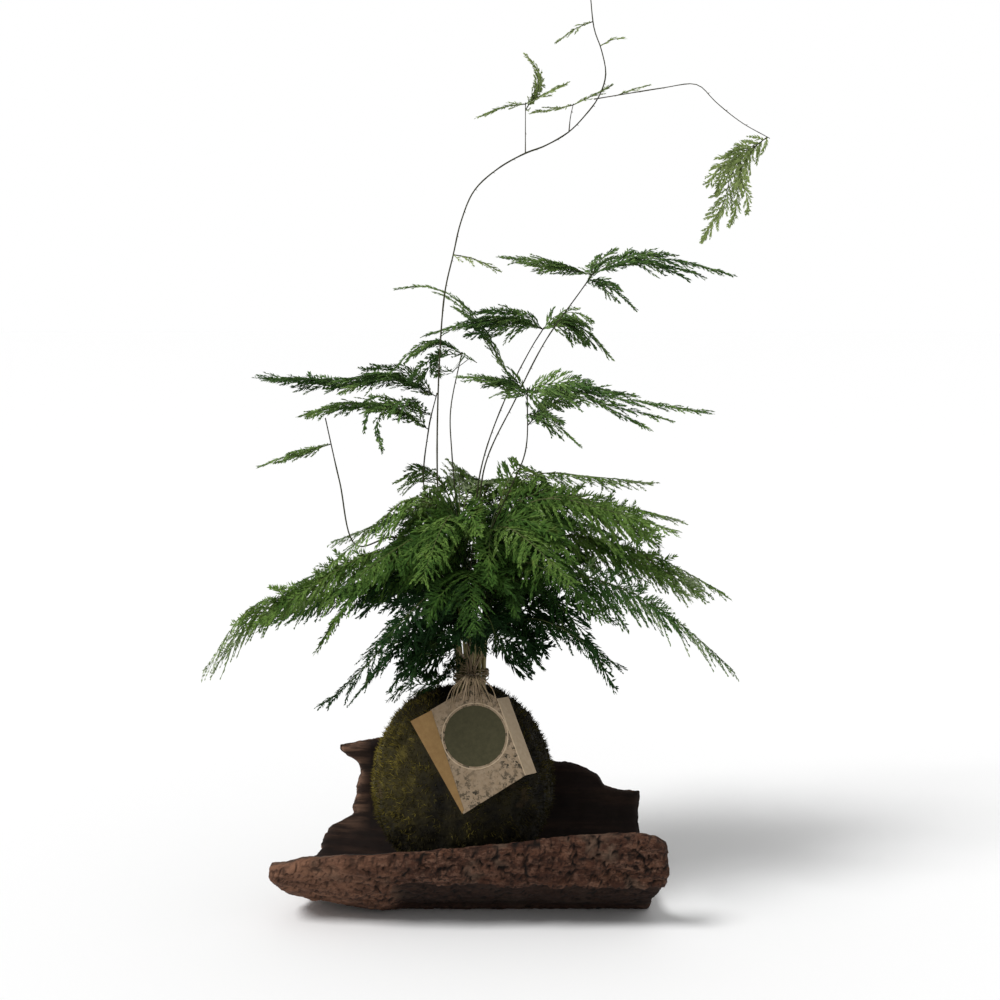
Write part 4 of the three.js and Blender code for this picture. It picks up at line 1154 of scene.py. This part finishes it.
def bush_frond(number, materials):
    degrees, level, reach, width, *_ = FRONDS[number]
    length = reach - SPRAY_START
    bend = frond_bend(number)
    shape = Shape()
    frond_stem(shape, number, bend)
    chance = np.random.default_rng(FROND_SEED + number)
    # Higher fronds get a lighter tone: painted light from above.
    tone = mix(*FROND_TONES, level) + PALER.get(degrees, 0)
    grow(shape, bend, length, width, chance, tone, RIB_FROND)
    lifting = 1 if degrees in LOW_BRANCHES else mix(0.4, 1, level)
    for (start, angle, share, lift, roll), shade, coarse in frond_branches(degrees, level, tone):
        side = branch_bend(bend, start * length, angle, lift * lifting, roll)
        grow(shape, side, share * length, BRANCH_REACH * width, chance, shade, RIB_BRANCH, coarse)
    return shape.build(f"frond_{number + 1:02d}_fine", materials)


def spray_bend(curve, side):
    """The surface of a spray on a tall stem: it follows its own curve and hangs at its sides."""
    across = np.array(side, float)
    face = -1 if np.cross(curve.tangent(np.array([0.5 * curve.length]))[0], across)[2] < 0 else 1

    def bend(flat):
        x, y, rise = flat_parts(flat)
        tangent = curve.tangent(x)
        sideways = unit(across - tangent * (tangent @ across)[..., None]) * face
        normal = np.cross(tangent, sideways)
        return curve.spot(x) + sideways * y[..., None] + normal * (rise - SPRAY_DROOP * y * y)[..., None]

    return bend


def tall_wire(shape, wire, seed, radii):
    """A wiry stem or twig with its knots and thorns."""
    count = max(6, int(wire.length / 4))
    s = np.linspace(0, wire.length, count)
    knots = 0.15 * np.maximum(0, noise(s / 9, seed, 1))
    tone = 0.35 + 0.45 * s / wire.length
    tube(shape, wire.spot(s), np.linspace(*radii, count) + knots, STEM_SIDES, tone, slot=1)
    thorn = np.arange(THORN_START, wire.length - 4, THORN_PITCH)
    ways = wire.tangent(thorn) * [1, 1, -0.6] + [0.35, -0.3, -0.2]
    spikes(shape, wire.spot(thorn), ways, THORN_LONG, THORN_HALF, 0.2, slot=1)


def tall_stem(name, seed, materials):
    stem = TALL_STEMS[name]
    x, y = stem["foot"]
    path = [(CROWN_X + x, y, height) for height in (STEM_FOOT, STEM_STRAIGHT, CROWN_TOP)] + stem["run"]
    main, *twigs = [Curve(spline(wire)) for wire in [path, *stem.get("twigs", [])]]
    shape = Shape()
    tall_wire(shape, main, seed, TALL_STEM_RADII)
    for twig in twigs:
        tall_wire(shape, twig, seed, TALL_TWIG_RADII)
    dense_line = np.vstack([wire.spot(np.linspace(0, wire.length, 200)) for wire in [main, *twigs]])
    level = (0, math.cos(TALL_TILT), math.sin(TALL_TILT))
    for i, (path, width, *side) in enumerate(stem["sprays"]):
        path = np.array(path, float)
        path[0] = dense_line[np.argmin(np.sum((dense_line - path[0]) ** 2, 1))]
        curve = Curve(spline(path))
        chance = np.random.default_rng(seed + i)
        bend = spray_bend(curve, side[0] if side else level)
        tone = 0.5 + 0.15 * chance.uniform(-1, 1)
        grow(shape, bend, curve.length, width, chance, tone, RIB_TALL, spread=TALL_SPREAD)
        branches = FREE_BRANCHES if curve.length > 40 else []
        dense = DENSE_BRANCHES.get(name, []) if i < 2 else []
        for start, angle, share, lift, roll in branches + dense:
            turned = branch_bend(bend, start * curve.length, angle, lift, roll)
            grow(shape, turned, share * curve.length, TALL_BRANCH_REACH * width, chance, tone,
                 RIB_TALL_BRANCH, OUTER_COARSE, TALL_SPREAD)
    return shape.build(f"{name}_fine", materials)


# Card
def card_spot(across, up, off):
    turn = math.pi / 2 - CARD_LEAN
    across, up, off = (np.asarray(v, float) for v in (across, up, off))
    return columns(
        across + CARD_CENTRE[0],
        up * math.cos(turn) - off * math.sin(turn) + CARD_CENTRE[1],
        up * math.sin(turn) + off * math.cos(turn) + CARD_CENTRE[2],
    )


def card_place(spots):
    """The inverse of card_spot: across, up and off for points in the part's frame."""
    turn = math.pi / 2 - CARD_LEAN
    across, y, z = (spots - CARD_CENTRE).T
    return across, y * math.cos(turn) + z * math.sin(turn), z * math.cos(turn) - y * math.sin(turn)


def behind_card(spots, margin, deeper):
    """Which points lie against the back of the card."""
    across, up, off = card_place(spots)
    within = off > np.where(across < 0, -6.5, -1.5) - deeper
    corners = np.array(CARD_HULL, float)
    for a, b in zip(corners, np.roll(corners, -1, axis=0)):
        way = unit(b - a)
        within &= way[0] * (up - a[1]) - way[1] * (across - a[0]) > -margin
    return within


def folded(points, start, end, degrees):
    axis = unit(np.array([end[0] - start[0], end[1] - start[1], 0.0]))
    rel = points - [start[0], start[1], 0]
    turn = math.radians(degrees)
    dot = (rel @ axis)[:, None] * axis
    return (rel * math.cos(turn) + np.cross(axis, rel) * math.sin(turn) + dot * (1 - math.cos(turn))
            + [start[0], start[1], 0])


def panel(shape, corners, slot, low=0.0, high=CARD_THICK, fold=None):
    """A flat plate of paper between two heights off the card's plane, turned about its fold."""
    flat = np.array(corners, float)
    count = len(flat)
    area = np.sum(flat[:, 0] * np.roll(flat[:, 1], -1) - np.roll(flat[:, 0], -1) * flat[:, 1])
    if area < 0:
        flat = flat[::-1]
    points = np.vstack([np.column_stack([flat, np.full(count, z)]) for z in (low, high)])
    if fold is not None:
        points = folded(points, *fold)
    ring = np.arange(count)
    after = (ring + 1) % count
    fan = np.arange(1, count - 1)
    faces = np.vstack([
        columns(ring, after, after + count),
        columns(ring, after + count, ring + count),
        columns(0 * fan + count, fan + count, fan + 1 + count),
        columns(0 * fan, fan + 1, fan),
    ])
    shape.add(card_spot(*points.T), faces, 0.5, slot)


def disc(shape, radius, slot, layer):
    """A round print on the card. Each layer stands a little higher than the one below."""
    corners = [
        (CARD_DISC[0] + radius * math.cos(turn), CARD_DISC[1] + radius * math.sin(turn))
        for turn in round_turns(CARD_DISC_POINTS)
    ]
    panel(shape, corners, slot, CARD_PRINT_LOW, CARD_THICK + CARD_PRINT_STEP * layer)


def gift_card(materials):
    top, bottom, right, shoulder, _ = CARD_MIDDLE
    printed, kraft, cream, olive = range(4)
    shape = Shape()
    panel(shape, CARD_MIDDLE, printed)
    panel(shape, CARD_LEFT_WING, kraft, fold=(bottom, top, CARD_LEFT_FOLD))
    outward = unit(np.array([right[0] - shoulder[0], right[1] - shoulder[1]], float))

    def beside(corner, out):
        return (corner[0] - outward[1] * out, corner[1] + outward[0] * out)

    wing = [beside(shoulder, -1), beside(right, -1), beside(right, CARD_RIGHT_WING),
            beside(shoulder, CARD_RIGHT_WING)]
    panel(shape, wing, cream, fold=(right, shoulder, CARD_RIGHT_FOLD))
    disc(shape, CARD_RIM_RADIUS, cream, 1)
    disc(shape, CARD_RING_RADIUS, printed, 2)
    disc(shape, CARD_DISC_RADIUS, olive, 3)
    return shape.build("gift_card_printed", materials)


# Raffia
def strand(shape, line, wide, thin, shade, face):
    """A flat strip of raffia along a line, with its face turned one way."""
    tube(shape, line, np.linspace(wide, thin, len(line)), 4, shade, flat=RAFFIA_FLAT, face=np.array(face))


def raffia_tie(material):
    shape = Shape()
    chance = np.random.default_rng(RAFFIA_SEED)
    turn = np.linspace(0, 2 * math.pi, 41)[:-1]
    for i in range(TIE_WRAPS):
        height = TIE_HEIGHT + TIE_STEP * i + chance.normal(0, 0.4)
        tilt_x, tilt_y = chance.normal(0, 0.13, 2)
        radius = TIE_RADIUS + 0.25 + 0.2 * np.sin(3 * turn + i)
        tilted = radius * (np.cos(turn) * tilt_x + np.sin(turn) * tilt_y)
        line = columns(
            CROWN_X + radius * np.cos(turn),
            radius * np.sin(turn),
            height + tilted + 0.2 * np.sin(5 * turn + 2 * i),
        )
        line = np.vstack([line, line[:1] + [0.05, 0, 0.1]])
        face = unit((line - [CROWN_X, 0, 0]) * [1, 1, 0])
        tube(shape, line, chance.uniform(0.4, 0.7), 4, chance.uniform(0, 0.6), flat=0.32, face=face)
    knot = np.array([KNOT_X, -TIE_RADIUS - 0.9, KNOT_HEIGHT])
    top, middle, end = FAN_ROWS
    for i in range(FAN_STRANDS):
        across = -FAN_HALF + 2 * FAN_HALF * (i + chance.uniform(0.1, 0.9)) / FAN_STRANDS
        up = end - 0.014 * across ** 2 + chance.uniform(-5, 3)
        start = knot + [chance.normal(0, 2.2), chance.uniform(-0.6, 0.4), chance.normal(0, 1.6)]
        line = spline([
            start,
            card_spot(mix(0, across, 0.42), top + chance.normal(0, 0.7), FAN_LYING + 3),
            card_spot(mix(0, across, 0.72) + chance.normal(0, 1.6), middle, FAN_LYING + 0.7),
            card_spot(across, up, FAN_LYING),
        ], 5)
        wide = chance.uniform(0.35, 0.75)
        strand(shape, line, wide, 0.5 * wide, chance.uniform(0, 0.4), [0.0, -1.0, 0.25])
    for i in range(SHORT_ENDS):
        x = -SHORT_HALF + 2 * SHORT_HALF * (i + chance.uniform(0, 1)) / SHORT_ENDS
        tip = np.array([CROWN_X + x, -15 - chance.uniform(0, 5), 176 + chance.uniform(0, 15)])
        start = knot + [chance.normal(0, 1.5), 0.3, -1]
        line = spline([start, knot + (tip - knot) * [0.4, 0.2, 0.55], tip], 6)
        strand(shape, line, 0.6, 0.25, chance.uniform(0, 0.3), [0.0, -1.0, 0.1])
    for i in range(KNOT_LOOPS):
        loop = columns(
            KNOT_X + (2.6 - 0.5 * i) * np.cos(turn[::2]),
            -TIE_RADIUS - 1.6 - 0.5 * np.sin(2 * turn[::2] + i),
            KNOT_HEIGHT + (2.0 + 0.4 * i) * np.sin(turn[::2]),
        )
        loop = np.vstack([loop, loop[:1] + [0.05, 0.05, 0]])
        tube(shape, loop, 0.8, 5, 0.1 * i)
    return shape.build("raffia_tie_stranded", [material], smooth=True)


# Looks
tall_leaf = leaf_look("fern_leaf_tall", "20361a", "3f5d2c", "7f9b54", "7c7e42")
climber_leaf = leaf_look("fern_leaf_climber", "45562e", "788a50", "a4b572", "a0a066")
leaf = leaf_look("fern_leaf", "1b3011", "38581f", "6e8b40", "76783a")
# A darker copy of the fern leaf for low fronds: painted shade.
shaded_leaf = leaf_look("fern_leaf_shaded", "10220e", "20401a", "45662e", "4f5c2a")
pale_leaf = leaf_look("fern_leaf_pale", "1f3623", "425e3a", "708857", "6c7245")
green_stem = stem_look("fern_stem", "a69a6c", "82824c", "3c4c24")
dark_stem = stem_look("fern_tall_stem", "6d6040", "3a3a22", "2a3018")
barks = [bark_outer_look(), bark_inner_look()]
cards = [
    card_look("card_speckled", "8a7a66", "7c6a54", fleck="2a261c"),
    card_look("card_kraft", "7e643e", "705634"),
    card_look("card_cream", "aa9881", "9a886f"),
    card_look("card_olive_disc", "413e2a", "363422"),
]


# Pieces
def dress(piece, node):
    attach(piece, "root")
    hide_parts(node)


dress(bark_trough(barks), "bark_trough")
dress(moss_ball(moss_look()), "moss_jacket")
dress(raffia_tie(raffia_look()), "raffia_tie")
dress(gift_card(cards), "gift_card")
for i, (degrees, level, *_) in enumerate(FRONDS):
    # Low fronds take the darker copy of the leaf as painted shade.
    dark = level < SHADED_LEVEL
    pale = BACK_FRONDS[0] < degrees < BACK_FRONDS[1] and level < BACK_LEVEL
    look = shaded_leaf if dark else pale_leaf if pale else leaf
    dress(bush_frond(i, [look, green_stem]), f"frond_{i + 1:02d}")
for i, name in enumerate(TALL_STEMS):
    look = climber_leaf if name == "tall_stem_climber" else tall_leaf
    dress(tall_stem(name, TALL_SEED + TALL_SEED_STEP * i, [look, dark_stem]), name)
soil = soil_look()
for material_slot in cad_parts["soil_ball"].material_slots:
    material_slot.material = soil


# Floor, light and camera
def pale_floor():
    low, high, z = -FLOOR_HALF, FLOOR_HALF, FLOOR_HEIGHT
    mesh = bpy.data.meshes.new("floor")
    mesh.from_pydata([(low, low, z), (high, low, z), (high, high, z), (low, high, z)], [], [(0, 1, 2, 3)])
    mesh.materials.append(Look("pale_floor", 0.9).finish(FLOOR_COLOUR))
    return placed("floor", mesh)


def studio_world():
    """Soft light from all round. The backdrop that the camera sees behind the part is white."""
    world = bpy.data.worlds.new("studio")
    world.use_nodes = True
    tree = world.node_tree
    glow, backdrop = tree.nodes["Background"], tree.nodes.new("ShaderNodeBackground")
    for node, strength in ((glow, SKY_STRENGTH), (backdrop, BACKDROP_STRENGTH)):
        node.inputs["Color"].default_value = WHITE
        node.inputs["Strength"].default_value = strength
    which, ray = tree.nodes.new("ShaderNodeMixShader"), tree.nodes.new("ShaderNodeLightPath")
    tree.links.new(ray.outputs["Is Camera Ray"], which.inputs[0])
    tree.links.new(glow.outputs[0], which.inputs[1])
    tree.links.new(backdrop.outputs[0], which.inputs[2])
    tree.links.new(which.outputs[0], tree.nodes["World Output"].inputs["Surface"])
    return world


def aim(holder, spot, target):
    back = unit(np.array(spot, float) - np.array(target, float))
    side = unit(np.cross([0, 0, 1], back))
    up = np.cross(back, side)
    holder.matrix_world = Matrix([[side[k], up[k], back[k], spot[k]] for k in range(3)] + [[0, 0, 0, 1]])


def key_sun():
    light = bpy.data.lights.new("key", "SUN")
    light.energy = SUN_STRENGTH
    light.angle = SUN_SPREAD
    aim(placed("key", light), SUN_SPOT, (0, 0, 0))


def photo_camera():
    data = bpy.data.cameras.new("camera")
    data.sensor_width = CAMERA_SENSOR
    data.lens = CAMERA_SENSOR * CAMERA_DISTANCE / CAMERA_VIEW
    camera = placed("camera", data)
    target = np.array(CAMERA_TARGET) * MM
    back = np.array([0, -math.cos(CAMERA_PITCH), math.sin(CAMERA_PITCH)])
    aim(camera, target + back * CAMERA_DISTANCE * MM, target)
    return camera


floor = pale_floor()
key_sun()
bpy.context.scene.world = studio_world()
bpy.context.scene.camera = photo_camera()
bpy.context.scene.view_settings.view_transform = "Standard"
